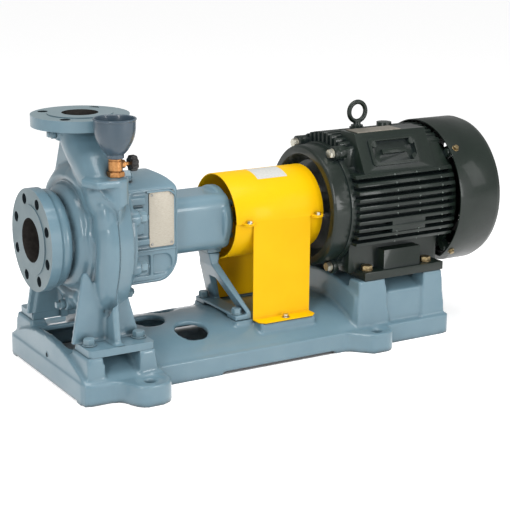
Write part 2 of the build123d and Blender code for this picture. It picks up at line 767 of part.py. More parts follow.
def guard_screws():
    """Screws in the seam tabs and through the feet of the guard."""
    near = [Pos(x, -guard_r - 6, shaft_height + guard_t + fit_gap) * hex_bolt(8, 4, 5.5, 1)
            for x in (guard_front + 24, guard_back - 16)]
    near.append(Pos((guard_leg_front + guard_leg_back) / 2, -guard_foot_out + 14,
                    guard_pad_z + guard_t + 2 * fit_gap) * hex_bolt(10, 5, 8, 1))
    return Compound([screw for one in near for screw in both_sides(one)])


def fin_section():
    """Section of the motor frame: round core, level side fins, upright top and bottom fins."""
    side_fins = [Pos(0, fin_pitch * (i - 4) - 0.5) * Rectangle(2 * frame_top_r, fin_t) for i in range(10)]
    top_fins = [Pos(fin_pitch * i, 0) * Rectangle(fin_t, 2 * frame_top_r) for i in range(-5, 6)]
    side_reach = Rectangle(2 * fin_tip_r, 2 * fin_tip_r) & Circle(fin_tip_r + 5)
    return Circle(frame_core_r) + (Sketch() + side_fins & side_reach) + (Sketch() + top_fins & Circle(frame_top_r))


def name_block():
    """Raised block on the near shoulder: blank plate pad on top, sloping side for a terminal box."""
    section = outline((name_pad_y0, name_pad_z), (name_pad_y1, name_pad_z), (name_pad_y1, 360),
                      (facet_low_y + 20, facet_low_z), (facet_low_y, facet_low_z))
    body = extrude(cross_plane(facet_x0) * section, facet_x1 - facet_x0)
    tail = outline((name_pad_y0 + 8, name_pad_z - 22), (name_pad_y1, name_pad_z - 22), (name_pad_y1, 360),
                   (facet_low_y + 20, facet_low_z), (facet_low_y, facet_low_z))
    return body + extrude(cross_plane(facet_x1 - 1) * tail, frame_back - facet_x1 - 3)


def facet_plane():
    """Plane on the middle of the sloping side, X along the shaft and Y up the slope."""
    rise = name_pad_z - facet_low_z
    back = name_pad_y0 - facet_low_y
    middle = ((facet_x0 + facet_x1) / 2 - 3, (name_pad_y0 + facet_low_y) / 2, (name_pad_z + facet_low_z) / 2)
    return Plane(origin=middle, x_dir=(1, 0, 0), z_dir=(0, -rise, back))


def blank_terminal_bed():
    """Raised rim and four bosses where a terminal box would sit on the near side."""
    rim = RectangleRounded(112, 56, 8) - RectangleRounded(100, 44, 5)
    bosses = [Pos(sx * 44, sy * 16) * Circle(6.5) for sx in (-1, 1) for sy in (-1, 1)]
    bar = Rectangle(56, 9)
    inner = extrude(Sketch() + bosses, bed_depth + 4) + extrude(bar, bed_depth + 3)
    return facet_plane() * (extrude(rim, 4) + Pos(0, 0, -bed_depth) * inner)


def motor_frame():
    """Finned motor frame with its feet, shoulders and lifting boss."""
    body = extrude(cross_plane(fin_front, shaft_height) * fin_section(), frame_back - fin_front)
    body += cyl_x(frame_front, fin_front, frame_core_r + 9)
    for a in (shield_bolt_angle, 180 - shield_bolt_angle):
        for y, z in ring_places(2, shield_bolt_r, a):
            body += cyl_x(frame_front, fin_front + 6, shield_ear_r, y, z)
    body += name_block()
    body -= facet_plane() * (Pos(0, 0, -bed_depth) * extrude(RectangleRounded(100, 44, 5), bed_depth + 2))
    body += blank_terminal_bed()
    body += block(facet_x0 + 56, facet_x0 + 134, -fin_tip_r + 2, -frame_core_r + 20, 222, 250)
    clear = block(box_x0 - 34, box_x1 + 6, 60, 200, box_z0 - 6, 420)
    body -= clear - cyl_x(box_x0 - 50, box_x1 + 10, frame_core_r + 3)
    body += cyl_x(box_x0 + 4, box_x1 - 4, box_seat_r) & block(box_x0, box_x1, 76, 160, box_z0 + 4, box_z1)
    body += cyl_z(370, eye_boss_z, 15, eye_x, 0) + cyl_z(370, eye_boss_z + 5, 15, eye_x + 65, 0)
    body -= block(fin_front - 20, frame_back + 1, -160, 160, 60, motor_pad_z + 22)
    near = block(motor_foot_x - 17, motor_foot_x + motor_foot_pitch_x + 30, -128, -70,
                 motor_pad_z + fit_gap, motor_pad_z + motor_foot_t)
    near += block(motor_foot_x + 32, motor_foot_x + motor_foot_pitch_x - 22, -120, -70,
                  motor_pad_z + fit_gap, motor_pad_z + 54)
    near += block(frame_front + 14, frame_back - 14, -94, -60, motor_pad_z + 10, shaft_height - 60)
    body += both_sides(near)
    return body


def drive_end_shield():
    """End shield towards the coupling: dished face, broad rim and four bolt ears."""
    back = frame_front - fit_gap
    body = turned((shield_front + 26, 0), (shield_front + 24, 88), (shield_front, 102),
                  (shield_front, shield_r - 4), (shield_front + 4, shield_r), (back, shield_r + 2), (back, 0))
    for a in (shield_bolt_angle, 180 - shield_bolt_angle):
        for y, z in ring_places(2, shield_bolt_r, a):
            body += cyl_x(shield_ear_front, back, shield_ear_r, y, z)
    return body - cyl_x(shield_front, frame_front + 1, motor_shaft_d / 2 + fit_gap)


def shield_bolts():
    """Bolts in the four ears of the drive-end shield."""
    bolts = []
    for a in (shield_bolt_angle, 180 - shield_bolt_angle):
        bolts += bolts_on_x(ring_places(2, shield_bolt_r, a), shield_ear_front - fit_gap, -1, 14, 8, 8, 1.5)
    return Compound(bolts)


def motor_shaft():
    return cyl_x(shaft_gap_x + 3, frame_front - fit_gap, motor_shaft_d / 2)


def cowl_form(inset):
    """Form of the fan cowl, or the space inside it when inset is the sheet's thickness."""
    r = cowl_r - inset
    front = cowl_front - (1 if inset else 0)
    back = cowl_back - inset
    form = turned((front, 0), (front, r), (back - 20, r), (back - 9, r - 4), (back - 2, r - 12),
                  (back, r - 24), (back, 0))
    notch = outline((front - 1, 0), (front - 1, cowl_flat_z + inset), (cowl_front + 22, cowl_flat_z + inset),
                    (cowl_front + 46, shaft_height - cowl_r), (cowl_front + 46, 0))
    return form - extrude(side_plane(cowl_r + 10) * notch, 2 * cowl_r + 20)


def fan_cowl():
    """Sheet cowl over the fan, flat below its front rim, with ring slots in its back."""
    body = cowl_form(0) - cowl_form(cowl_t)
    slots = [Circle(r + 4) - Circle(r - 4) for r in (28, 44, 60, 76, 92)]
    spokes = [Rot(0, 0, 60 * i + 30) * Rectangle(260, 8) for i in range(3)]
    return body - extrude(cross_plane(cowl_back - 10, shaft_height) * ((Sketch() + slots) - spokes), 20)


def rear_shield():
    """Rear end shield with the four lugs that carry the cowl."""
    front = frame_back + fit_gap
    body = turned((front, 0), (front, 126), (front + 10, 124), (front + 16, 108), (front + 30, 60),
                  (front + 30, 0))
    lug_centre = cowl_r - cowl_t - cowl_lug_r - fit_gap
    for y, z in ring_places(4, lug_centre, 45):
        body += cyl_x(front, front + 26, cowl_lug_r, y, z)
    for angle in (45, 135, 225, 315):
        arm = block(front, front + 14, -cowl_lug_r, cowl_lug_r, 100, lug_centre)
        body += Pos(0, 0, shaft_height) * Rot(angle, 0, 0) * arm
    body -= block(front - 1, front + 40, -60, 60, 100, cowl_flat_z + cowl_t + 1)
    return body - cyl_x(front - 1, front + 40, fan_shaft_r + fit_gap)


def cooling_fan():
    """Radial fan on the rear end of the motor shaft."""
    x0 = frame_back + 36
    body = cyl_x(x0, x0 + 34, 24) + cyl_x(x0, x0 + 4, 104)
    for i in range(8):
        blade = block(x0, x0 + 34, -1.5, 1.5, 20, 104)
        body += Pos(0, 0, shaft_height) * Rot(45 * i, 0, 0) * blade
    return body - cyl_x(x0 - 1, x0 + 60, fan_shaft_r + fit_gap)


def cowl_bolts():
    """Screws through the cowl wall into the lugs of the rear shield."""
    screws = []
    for angle in (45, 135, 225, 315):
        out = Pos(0, 0, shaft_height) * Rot(angle, 0, 0) * Pos(cowl_front + 14, 0, cowl_r + fit_gap)
        screws.append(out * hex_bolt(9, 5, 7, 1))
    return Compound(screws)


def terminal_box():
    """Terminal box on the far side of the motor frame."""
    body = block(box_x0, box_x1, 72, box_y, box_z0, box_z1)
    body = fillet(body.edges().filter_by(Axis.Y), 8)
    return body - cyl_x(box_x0 - 10, box_x1 + 10, box_seat_r + fit_gap)


def terminal_lid():
    """Lid of the terminal box with its four screws."""
    lid = block(box_x0 - 3, box_x1 + 3, box_y + fit_gap, box_y + 8, box_z0 - 3, box_z1 + 3)
    lid = fillet(lid.edges().filter_by(Axis.Y), 9)
    for x in (box_x0 + 8, box_x1 - 8):
        for z in (box_z0 + 8, box_z1 - 8):
            lid += Pos(x, box_y + 8, z) * Rot(-90, 0, 0) * hex_bolt(7, 3, 5, 1)
    return lid


def cable_gland():
    """Gland on the coupling side of the terminal box for the supply cable."""
    gland = extrude(RegularPolygon(17, 6), 10) + Pos(0, 0, 18) * Cylinder(12.5, 16)
    gland -= Pos(0, 0, 18) * Cylinder(8, 20)
    return Pos(box_x0 - fit_gap, gland_y, gland_z) * Rot(0, -90, 0) * gland


def eyebolt():
    """Forged lifting eye with its collar seated on the frame's boss."""
    z = eye_boss_z + fit_gap
    ring = Pos(eye_x, 0, z + 30) * Rot(90, 0, 0) * Torus(19, 4.6)
    collar = cyl_z(z, z + 4, 12, eye_x, 0) + cyl_z(z, z + 11, 7.5, eye_x, 0)
    return collar + ring


def motor_plate():
    """Blank plate on the pad beside the lifting eye."""
    z = name_pad_z + fit_gap
    return block(facet_x0 + 9, facet_x0 + 111, name_pad_y0 + 2, name_pad_y1 - 4, z, z + 1)


def foot_bolts(xs, y, z, across, head, washer_r):
    """Bolt heads on the feet, at each x on both sides of the shaft."""
    bolts = []
    for x in xs:
        bolts += both_sides(Pos(x, -y, z + fit_gap) * hex_bolt(across, head, washer_r, 2))
    return Compound(bolts)


def build_all():
    """Every piece by its name."""
    half_pitch = pump_foot_bolts_x / 2
    return {
        "base_frame": base_frame(),
        "volute_casing": volute_casing(),
        "lantern_bracket": lantern_bracket(),
        "window_plates": window_plates(),
        "bearing_housing": bearing_housing(),
        "bearing_cover": bearing_cover(),
        "support_leg": support_leg(),
        "priming_cup": priming_cup(),
        "cock_body": cock_body(),
        "cock_knob": cock_knob(),
        "cock_spindle": cock_spindle(),
        "gauge_plug": Pos(gauge_x, gauge_y, gauge_z) * pipe_plug(7, 8, 9, 7),
        "drain_plug": Pos(drain_x, 0, drain_z) * pipe_plug(8, 9, 10, 8),
        "pump_shaft": pump_shaft(),
        "impeller": impeller(),
        "pump_coupling_half": coupling_half(-1, pump_shaft_d, 46),
        "motor_coupling_half": coupling_half(1, motor_shaft_d, 56),
        "guard_upper": guard_upper(),
        "guard_lower": guard_lower(),
        "guard_screws": guard_screws(),
        "motor_frame": motor_frame(),
        "drive_end_shield": drive_end_shield(),
        "shield_bolts": shield_bolts(),
        "motor_shaft": motor_shaft(),
        "rear_shield": rear_shield(),
        "fan_shaft": cyl_x(frame_back + 1, frame_back + 74, fan_shaft_r),
        "cooling_fan": cooling_fan(),
        "fan_cowl": fan_cowl(),
        "cowl_bolts": cowl_bolts(),
        "terminal_box": terminal_box(),
        "terminal_lid": terminal_lid(),
        "cable_gland": cable_gland(),
        "eyebolt": eyebolt(),
        "motor_plate": motor_plate(),
        "casing_nuts": Compound(bolts_on_x(ring_places(cover_studs, cover_pcd / 2, 22.5),
                                           ear_back + fit_gap, 1, 19, 12, 12, 2)),
        "pump_foot_bolts": foot_bolts((neck_x - half_pitch, neck_x + half_pitch), pump_foot_bolts_y / 2,
                                      pump_pad_z + pump_foot_t, 19, 10, 13),
        "leg_bolts": foot_bolts((leg_bolt_x,), leg_bolts_y / 2, leg_pad_z + leg_foot_t + fit_gap, 17, 9, 10.5),
        "motor_foot_bolts": foot_bolts((motor_foot_x, motor_foot_x + motor_foot_pitch_x),
                                       motor_foot_pitch_y / 2, motor_pad_z + motor_foot_t, 19, 8, 12),
    }


if __name__ == "__main__":
    os.makedirs("parts", exist_ok=True)
    for name, piece in build_all().items():
        export_step(Pos(-origin_x, 0, 0) * piece, f"parts/{name}.step")
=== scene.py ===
import bmesh
import bpy
from math import atan2, cos, degrees, hypot, pi, radians, sin, tan
from mathutils import Matrix, Vector
from mathutils.bvhtree import BVHTree


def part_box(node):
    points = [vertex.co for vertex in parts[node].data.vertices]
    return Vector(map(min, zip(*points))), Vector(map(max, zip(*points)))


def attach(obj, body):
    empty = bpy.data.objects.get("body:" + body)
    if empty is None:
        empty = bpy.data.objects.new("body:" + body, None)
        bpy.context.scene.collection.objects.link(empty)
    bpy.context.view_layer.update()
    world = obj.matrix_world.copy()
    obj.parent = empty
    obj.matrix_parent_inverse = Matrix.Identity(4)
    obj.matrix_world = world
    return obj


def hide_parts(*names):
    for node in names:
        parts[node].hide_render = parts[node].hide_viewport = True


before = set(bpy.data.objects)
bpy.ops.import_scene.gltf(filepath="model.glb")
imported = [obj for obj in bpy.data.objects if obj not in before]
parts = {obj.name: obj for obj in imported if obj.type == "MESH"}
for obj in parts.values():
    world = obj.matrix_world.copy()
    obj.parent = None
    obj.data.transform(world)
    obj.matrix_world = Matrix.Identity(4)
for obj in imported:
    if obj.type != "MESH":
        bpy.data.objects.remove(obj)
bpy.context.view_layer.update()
mm = 0.001


# The cast base: one iron casting, open underneath, with drafted pads, hand holes and bolt ears.
# It is shot-blasted and sprayed with a grey-blue enamel that keeps the grain of the sand mould.
# Its edges and inner corners are round, as the mould leaves them.
def add(tree, kind, options=None, **inputs):
    """A new shader node, with its options and what goes into its inputs."""
    made = tree.nodes.new("ShaderNode" + kind)
    for name, value in (options or {}).items():
        setattr(made, name, value)
    for name, value in inputs.items():
        feed(tree, made.inputs[name.replace("_", " ")], value)
    return made


def feed(tree, socket, value):
    """Links a socket to another one, or gives it a fixed value."""
    if isinstance(value, bpy.types.NodeSocket):
        tree.links.new(value, socket)
    else:
        socket.default_value = value


def calc(tree, operation, first, second=0.0, clamp=False):
    """One sum on two numbers or sockets."""
    made = add(tree, "Math", {"operation": operation, "use_clamp": clamp})
    feed(tree, made.inputs[0], first)
    feed(tree, made.inputs[1], second)
    return made.outputs[0]


def spread(tree, value, low, high, start=0.0, end=1.0):
    """A value stretched from low..high to start..end."""
    made = add(tree, "MapRange", Value=value, From_Min=low, From_Max=high, To_Min=start, To_Max=end)
    return made.outputs[0]


def blend(tree, amount, first, second):
    """One colour laid over another by an amount."""
    return add(tree, "MixRGB", Fac=amount, Color1=first, Color2=second).outputs[0]


def grain(tree, size, detail=2.0, roughness=0.5, stretch=None):
    """Noise in the object's own millimetres; stretch draws it out along an axis."""
    place = add(tree, "TexCoord").outputs["Object"]
    if stretch:
        place = add(tree, "Mapping", Vector=place, Scale=stretch).outputs[0]
    scale = calc(tree, "DIVIDE", 1000.0, size)
    made = add(tree, "TexNoise", Vector=place, Scale=scale, Detail=detail, Roughness=roughness)
    return made.outputs["Fac"]


def shader_group(name, given, results):
    """An empty shader node group whose inputs and outputs are named numbers."""
    group = bpy.data.node_groups.new(name, "ShaderNodeTree")
    for label, value in given.items():
        entry = group.interface.new_socket(label, in_out="INPUT", socket_type="NodeSocketFloat")
        entry.default_value = value
    for label in results:
        group.interface.new_socket(label, in_out="OUTPUT", socket_type="NodeSocketFloat")
    inside = group.nodes.new("NodeGroupInput").outputs
    outside = group.nodes.new("NodeGroupOutput").inputs
    return group, inside, outside


def use(tree, group, **inputs):
    """Places a shader group in a material."""
    made = tree.nodes.new("ShaderNodeGroup")
    made.node_tree = group
    for label, value in inputs.items():
        feed(tree, made.inputs[label], value)
    return made.outputs


def material(name, **fixed):
    """A material with its Principled shader; the fixed values are set on its own sockets."""
    made = bpy.data.materials.new(name)
    made.use_nodes = True
    tree = made.node_tree
    shader = tree.nodes["Principled BSDF"]
    for label, value in fixed.items():
        shader.inputs[label.replace("_", " ")].default_value = value
    return made, tree, shader.inputs


def paint(*rgb):
    """A colour as read off a paint card, made linear."""
    return tuple((c / 255 / 12.92) if c < 11 else ((c / 255 + 0.055) / 1.055) ** 2.4 for c in rgb) + (1.0,)


def bump(tree, height, depth, strength=1.0):
    """A bump whose full height is depth, in millimetres."""
    return add(tree, "Bump", Strength=strength, Distance=depth * mm, Height=height).outputs[0]


# Sand-cast skin: fine grain, slow waves in the surface and a mottle for colour and gloss.
cast_skin, inside, outside = shader_group(
    "cast_skin", {"Grain": 1.6, "Wave": 22.0, "Grit": 0.55}, ["Height", "Mottle"])
fine = grain(cast_skin, inside["Grain"], 3.0, 0.6)
slow = grain(cast_skin, inside["Wave"], 2.0, 0.45)
coarse = calc(cast_skin, "MULTIPLY", fine, inside["Grit"])
feed(cast_skin, outside["Height"], calc(cast_skin, "ADD", coarse, slow))
feed(cast_skin, outside["Mottle"], spread(cast_skin, grain(cast_skin, 70.0, 4.0, 0.6), 0.3, 0.7))

# Edge wear and painted glints: a broken mask along convex edges, where paint is thin or rubbed, and where the
# lighter colour also stands for glints of light.
edge_wear_and_glint, inside, outside = shader_group(
    "edge_wear_and_glint", {"Width": 2.0, "Broken": 9.0, "Amount": 0.6}, ["Mask"])
width = calc(edge_wear_and_glint, "MULTIPLY", inside["Width"], mm)
rounded = add(edge_wear_and_glint, "Bevel", {"samples": 4}, Radius=width).outputs[0]
flat = add(edge_wear_and_glint, "NewGeometry").outputs["Normal"]
turn = add(edge_wear_and_glint, "VectorMath", {"operation": "DOT_PRODUCT"})
edge_wear_and_glint.links.new(rounded, turn.inputs[0])
edge_wear_and_glint.links.new(flat, turn.inputs[1])
bend = spread(edge_wear_and_glint, turn.outputs["Value"], 0.985, 0.86)
open_air = add(edge_wear_and_glint, "AmbientOcclusion", {"samples": 4}, Distance=6 * mm).outputs["AO"]
bend = calc(edge_wear_and_glint, "MULTIPLY", bend, spread(edge_wear_and_glint, open_air, 0.75, 0.95))
patchy = spread(edge_wear_and_glint, grain(edge_wear_and_glint, inside["Broken"], 4.0, 0.7), 0.42, 0.6)
bend = calc(edge_wear_and_glint, "MULTIPLY", bend, patchy)
feed(edge_wear_and_glint, outside["Mask"], calc(edge_wear_and_glint, "MULTIPLY", bend, inside["Amount"], clamp=True))

# Painted shade in corners: a dark mask from ambient occlusion, made uneven by noise, where two surfaces meet.
corner_shade, inside, outside = shader_group(
    "corner_shade", {"Reach": 13.0, "Amount": 0.7}, ["Mask"])
reach = calc(corner_shade, "MULTIPLY", inside["Reach"], mm)
open_air = add(corner_shade, "AmbientOcclusion", {"samples": 6}, Distance=reach).outputs["AO"]
shut = spread(corner_shade, open_air, 0.92, 0.35)
uneven = spread(corner_shade, grain(corner_shade, 17.0, 3.0, 0.6), 0.25, 0.75, 0.6, 1.1)
shut = calc(corner_shade, "MULTIPLY", shut, uneven)
feed(corner_shade, outside["Mask"], calc(corner_shade, "MULTIPLY", shut, inside["Amount"], clamp=True))


def enamel(name, colour, deep, worn_and_glint, gloss, skin, wear_and_glint=0.35, painted_shade=0.85, lacquer=0.6, shine=0.4):
    """Enamel over a casting: mottled colour, painted shade in corners, lighter convex edges for thin paint
    and for painted glints, and the mould's grain.
    """
    made, tree, shader = material(name, Specular_IOR_Level=shine, Coat_Roughness=0.1)
    surface = use(tree, cast_skin, **skin)
    base = blend(tree, surface["Mottle"], colour, deep)
    # Painted shade: corners go dark grey-blue where the corner mask is strong.
    base = blend(tree, use(tree, corner_shade, Amount=painted_shade)["Mask"], base, paint(38, 46, 50))
    # Convex edges take the lighter colour, for thin paint and for painted glints.
    rubbed_and_glint = use(tree, edge_wear_and_glint, Amount=wear_and_glint)["Mask"]
    feed(tree, shader["Base Color"], blend(tree, rubbed_and_glint, base, worn_and_glint))
    feed(tree, shader["Roughness"], spread(tree, surface["Mottle"], 0.0, 1.0, gloss, gloss + 0.09))
    feed(tree, shader["Coat Weight"], spread(tree, surface["Mottle"], 0.0, 1.0, lacquer, lacquer * 0.6))
    feed(tree, shader["Normal"], bump(tree, surface["Height"], 0.35, 0.5))
    return made


pump_enamel = enamel("pump_enamel", paint(112, 141, 154), paint(104, 134, 148), paint(150, 174, 184),
                     0.3, {"Grain": 2.2, "Wave": 26.0})


def dress(name, finish):
    """Gives a CAD node its finish and keeps its own mesh."""
    for held in parts[name].material_slots:
        held.material = finish


def clean_copy(name, whole_faces=True):
    """The mesh of a CAD node with its triangles joined up into whole faces."""
    mesh = parts[name].data.copy()
    if "custom_normal" in mesh.attributes:
        mesh.attributes.remove(mesh.attributes["custom_normal"])
    work = bmesh.new()
    work.from_mesh(mesh)
    bpy.data.meshes.remove(mesh)
    bmesh.ops.remove_doubles(work, verts=work.verts, dist=0.01 * mm)
    if whole_faces:
        bmesh.ops.dissolve_limit(work, angle_limit=radians(0.6), verts=work.verts, edges=work.edges)
    return work


def through_modifiers(work, settings):
    """Puts a bmesh through modifiers and gives back the resulting bmesh."""
    mesh = bpy.data.meshes.new("work")
    work.to_mesh(mesh)
    work.free()
    made = bpy.data.objects.new("work", mesh)
    bpy.context.scene.collection.objects.link(made)
    for kind, values in settings:
        modifier = made.modifiers.new(kind.lower(), kind)
        for label, value in values.items():
            setattr(modifier, label, value)
    shaped = made.evaluated_get(bpy.context.evaluated_depsgraph_get())
    done = bmesh.new()
    done.from_mesh(shaped.to_mesh())
    shaped.to_mesh_clear()
    bpy.data.objects.remove(made)
    bpy.data.meshes.remove(mesh)
    return done


def recast(work, cell, rounds):
    """A casting as it leaves the mould: one skin with round edges and filled inner corners."""
    return through_modifiers(work, [
        ("REMESH", {"mode": "VOXEL", "voxel_size": cell * mm}),
        ("SMOOTH", {"factor": 0.5, "iterations": rounds}),
    ])


def cut_off(work, point, outward):
    """Cuts away what lies beyond a plane."""
    everything = work.verts[:] + work.edges[:] + work.faces[:]
    bmesh.ops.bisect_plane(work, geom=everything, plane_co=point, plane_no=outward, clear_outer=True)
    return work


def join(first, second):
    """Adds the faces of the second bmesh to the first."""
    mesh = bpy.data.meshes.new("joined")
    second.to_mesh(mesh)
    second.free()
    first.from_mesh(mesh)
    bpy.data.meshes.remove(mesh)


def piece(name, work, finish, stands_for=(), body="pump_set", smooth=38):
    """Turns a bmesh into a named piece of the pump, which may stand for CAD nodes."""
    mesh = bpy.data.meshes.new(name)
    work.to_mesh(mesh)
    work.free()
    for one in finish if isinstance(finish, list) else [finish]:
        mesh.materials.append(one)
    mesh.shade_smooth()
    mesh.set_sharp_from_angle(angle=radians(smooth))
    made = bpy.data.objects.new(name, mesh)
    bpy.context.scene.collection.objects.link(made)
    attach(made, body)
    if stands_for:
        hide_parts(*stands_for)


def lathe(work, place, profile, sides=40):
    """Turned body from (height, radius) pairs in millimetres about the place's own Z."""
    rings = []
    for height, radius in profile:
        if radius == 0:
            rings.append([work.verts.new(place @ Vector((0, 0, height * mm)))])
            continue
        ring = []
        for i in range(sides):
            a = 2 * pi * i / sides
            spot = Vector((radius * cos(a) * mm, radius * sin(a) * mm, height * mm))
            ring.append(work.verts.new(place @ spot))
        rings.append(ring)
    faces = []
    for low, high in zip(rings, rings[1:]):
        for i in range(sides):
            k = (i + 1) % sides
            corners = [low[i % len(low)], low[k % len(low)], high[k % len(high)], high[i % len(high)]]
            corners = list(dict.fromkeys(corners))
            if len(corners) > 2:
                faces.append(work.faces.new(corners))
    return faces


def seat(point, outward):
    """Place on a surface, with its own Z pointing outwards."""
    return Matrix.Translation(point) @ Vector(outward).to_track_quat("Z", "Y").to_matrix().to_4x4()


# Painted shade: a dark, mottled material for the walls and ends of holes, where light hardly reaches.
shaded_hole, tree, shader = material("shaded_hole", Roughness=0.7, Specular_IOR_Level=0.2)
hole_shade_mottle = spread(tree, grain(tree, 5.0, 3.0, 0.6), 0.3, 0.7)
feed(tree, shader["Base Color"], blend(tree, hole_shade_mottle, paint(40, 50, 56), paint(26, 32, 36)))

base_low, base_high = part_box("base_frame")
base_body = recast(clean_copy("base_frame", False), cell=3.15, rounds=3)
vent_y = -5 * mm
vent_z = 47 * mm
vent_radius = 4.3 * mm
vent_rim = [(-1.0, 7.5), (0.3, 6.5), (0.5, 5.0), (0.2, 4.4), (0.0, 4.2), (-0.3, 0)]


def off_vent(face):
    """How far the middle of a face lies from the axis of the vent hole in the base's end wall."""
    middle = face.calc_center_median()
    return (middle - Vector((0, vent_y, vent_z))).yz.length


end_wall_x = min(face.calc_center_median().x for face in base_body.faces if off_vent(face) < 6 * mm)
# The vent's rim closes in a disc inside the hole; the disc and the hole's wall take the dark hole material as
# painted shade.
for face in lathe(base_body, seat((end_wall_x, vent_y, vent_z), (-1, 0, 0)), vent_rim, 32):
    face.material_index = 1 if off_vent(face) < vent_radius else 0
piece("cast_base", base_body, [pump_enamel, shaded_hole], ["base_frame"], smooth=60)


# The volute casing: one iron casting with the suction branch, the scroll, the swan neck and the
# feet. The flange faces are turned before painting. The mould's parting line stays as a fine groove
# between two thin ridges along the crest of the scroll.
casing_low, casing_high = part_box("volute_casing")
shaft_low, shaft_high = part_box("pump_shaft")
shaft_z = (shaft_low[2] + shaft_high[2]) / 2
suction_x = casing_low[0]
outlet_x = suction_x + 100 * mm
outlet_face_z = casing_high[2]
flange_under_z = outlet_face_z - 22 * mm
foot_top_z = casing_low[2] + 13 * mm
branch_cut_x = suction_x + 21 * mm


def turned_rings(tree, first, second, first_middle, second_middle, pitch):
    """Fine rings round an axis, as a lathe tool leaves them on a face."""
    place = add(tree, "SeparateXYZ", Vector=add(tree, "TexCoord").outputs["Object"]).outputs
    a = calc(tree, "SUBTRACT", place[first], first_middle)
    b = calc(tree, "SUBTRACT", place[second], second_middle)
    far = calc(tree, "SQRT", calc(tree, "ADD", calc(tree, "MULTIPLY", a, a), calc(tree, "MULTIPLY", b, b)))
    wave = calc(tree, "SINE", calc(tree, "MULTIPLY", far, 2 * pi / (pitch * mm)))
    return spread(tree, wave, -1.0, 1.0)


def faced_enamel(name, first, second, first_middle, second_middle):
    """Thin enamel over a turned flange face: duller, with the tool's rings showing through."""
    made, tree, shader = material(name, Specular_IOR_Level=0.5)
    surface = use(tree, cast_skin, Grain=3.0, Wave=40.0)
    base = blend(tree, surface["Mottle"], paint(122, 139, 144), paint(112, 130, 136))
    # The face's edges take a lighter colour, for thin paint and for painted glints.
    rubbed_and_glint = use(tree, edge_wear_and_glint, Width=1.2, Amount=0.5)["Mask"]
    feed(tree, shader["Base Color"], blend(tree, rubbed_and_glint, base, paint(150, 166, 172)))
    feed(tree, shader["Roughness"], spread(tree, surface["Mottle"], 0.0, 1.0, 0.42, 0.52))
    rings = turned_rings(tree, first, second, first_middle, second_middle, 1.4)
    feed(tree, shader["Normal"], bump(tree, rings, 0.03, 0.6))
    return made


suction_enamel = faced_enamel("suction_face_enamel", "Y", "Z", 0.0, shaft_z)
outlet_enamel = faced_enamel("outlet_face_enamel", "X", "Y", outlet_x, 0.0)
# Bare iron for the water ways, darker than the impeller's bare iron: painted shade inside the bore, with
# random rust patches.
shaded_bore_iron, tree, shader = material("shaded_bore_iron", Metallic=0.35, Roughness=0.62)
patch = grain(tree, 9.0, 4.0, 0.65)
rust = spread(tree, patch, 0.3, 0.7)
feed(tree, shader["Base Color"], blend(tree, rust, paint(62, 58, 54), paint(38, 34, 32)))
feed(tree, shader["Normal"], bump(tree, patch, 0.2, 0.5))

casing_finishes = [pump_enamel, suction_enamel, outlet_enamel, shaded_bore_iron, shaded_hole]
turned_inlet, turned_outlet, water_way, bolt_hole = 1, 2, 3, 4


def paint_casing(work):
    """Marks the turned faces, the bare water ways, darkened as painted shade, and the walls of the flanges'
    bolt holes, which take the dark hole material as painted shade.
    """
    for face in work.faces:
        middle = face.calc_center_median()
        off_shaft = hypot(middle.y, middle.z - shaft_z)
        off_outlet = hypot(middle.x - outlet_x, middle.y)
        across_x = abs(face.normal.x) < 0.5
        across_z = abs(face.normal.z) < 0.5
        if face.normal.x < -0.98 and middle.x < suction_x + 3 * mm:
            face.material_index = turned_inlet
        elif face.normal.z > 0.98 and middle.z > outlet_face_z - 3 * mm:
            face.material_index = turned_outlet
        elif off_shaft < 40.6 * mm and middle.x < suction_x + 92 * mm:
            face.material_index = water_way
        elif off_outlet < 33 * mm and middle.z > flange_under_z - 60 * mm:
            face.material_index = water_way
        # The walls of the flanges' bolt holes take the dark hole material, as painted shade.
        elif middle.x < branch_cut_x and 64 * mm < off_shaft < 86 * mm and across_x:
            face.material_index = bolt_hole
        elif middle.z > flange_under_z and 59 * mm < off_outlet < 81 * mm and across_z:
            face.material_index = bolt_hole


def place_on_scroll(spot):
    """Distance from the shaft's line, and the angle up from the near side, of a point of the casing."""
    return hypot(spot.y, spot.z - shaft_z) / mm, degrees(atan2(spot.z - shaft_z, -spot.y))


def scroll_reach(angle):
    """Distance of the scroll's crest from the shaft's line, with a smooth run from row to row."""
    for (start, first), (end, second) in zip(crest_reach, crest_reach[1:]):
        if angle <= end:
            share = max(0.0, (angle - start) / (end - start))
            return first + (second - first) * share * share * (3 - 2 * share)
    return crest_reach[-1][1]


crest_reach = [(-100, 142), (-78, 149), (-60, 157), (-42, 157), (-20, 153), (0, 152), (30, 152), (48, 145),
               (62, 133), (90, 130), (180, 131), (225, 136), (260, 142)]
channel_round = 29
channel_front = 73
crest = 102
crest_x = suction_x + crest * mm
casing_back = 135.7
inner_reach = 100


def carve_front(work):
    """Draws the near wall in front of the channel back, so that a deep groove parts it from the branch."""
    hub_end = 48
    groove_from, groove_to = 99, 170
    groove_depth = 13
    lowest, highest = -74, 39
    ring_reach, ring_back = 108, 80.5
    work.normal_update()
    for vert in work.verts:
        reach, angle = place_on_scroll(vert.co)
        x = (vert.co.x - suction_x) / mm
        looks_back = vert.normal.x > 0.3
        if looks_back or not (groove_from < reach < groove_to and lowest < angle < highest and hub_end < x):
            continue
        hold = min(1.0, (angle - lowest) / 10, (highest - angle) / 14, (reach - groove_from) / 5)
        middle = scroll_reach(angle) - channel_round
        if reach >= middle:
            target = crest - (max(0.0, channel_round ** 2 - (reach - middle) ** 2)) ** 0.5
        else:
            share = (middle - reach) / (middle - groove_from)
            target = channel_front + groove_depth * sin(pi * share ** 0.7)
            target = min(target, ring_back) if reach < ring_reach else target
        if x < target:
            vert.co.x += (target - x) * hold * mm


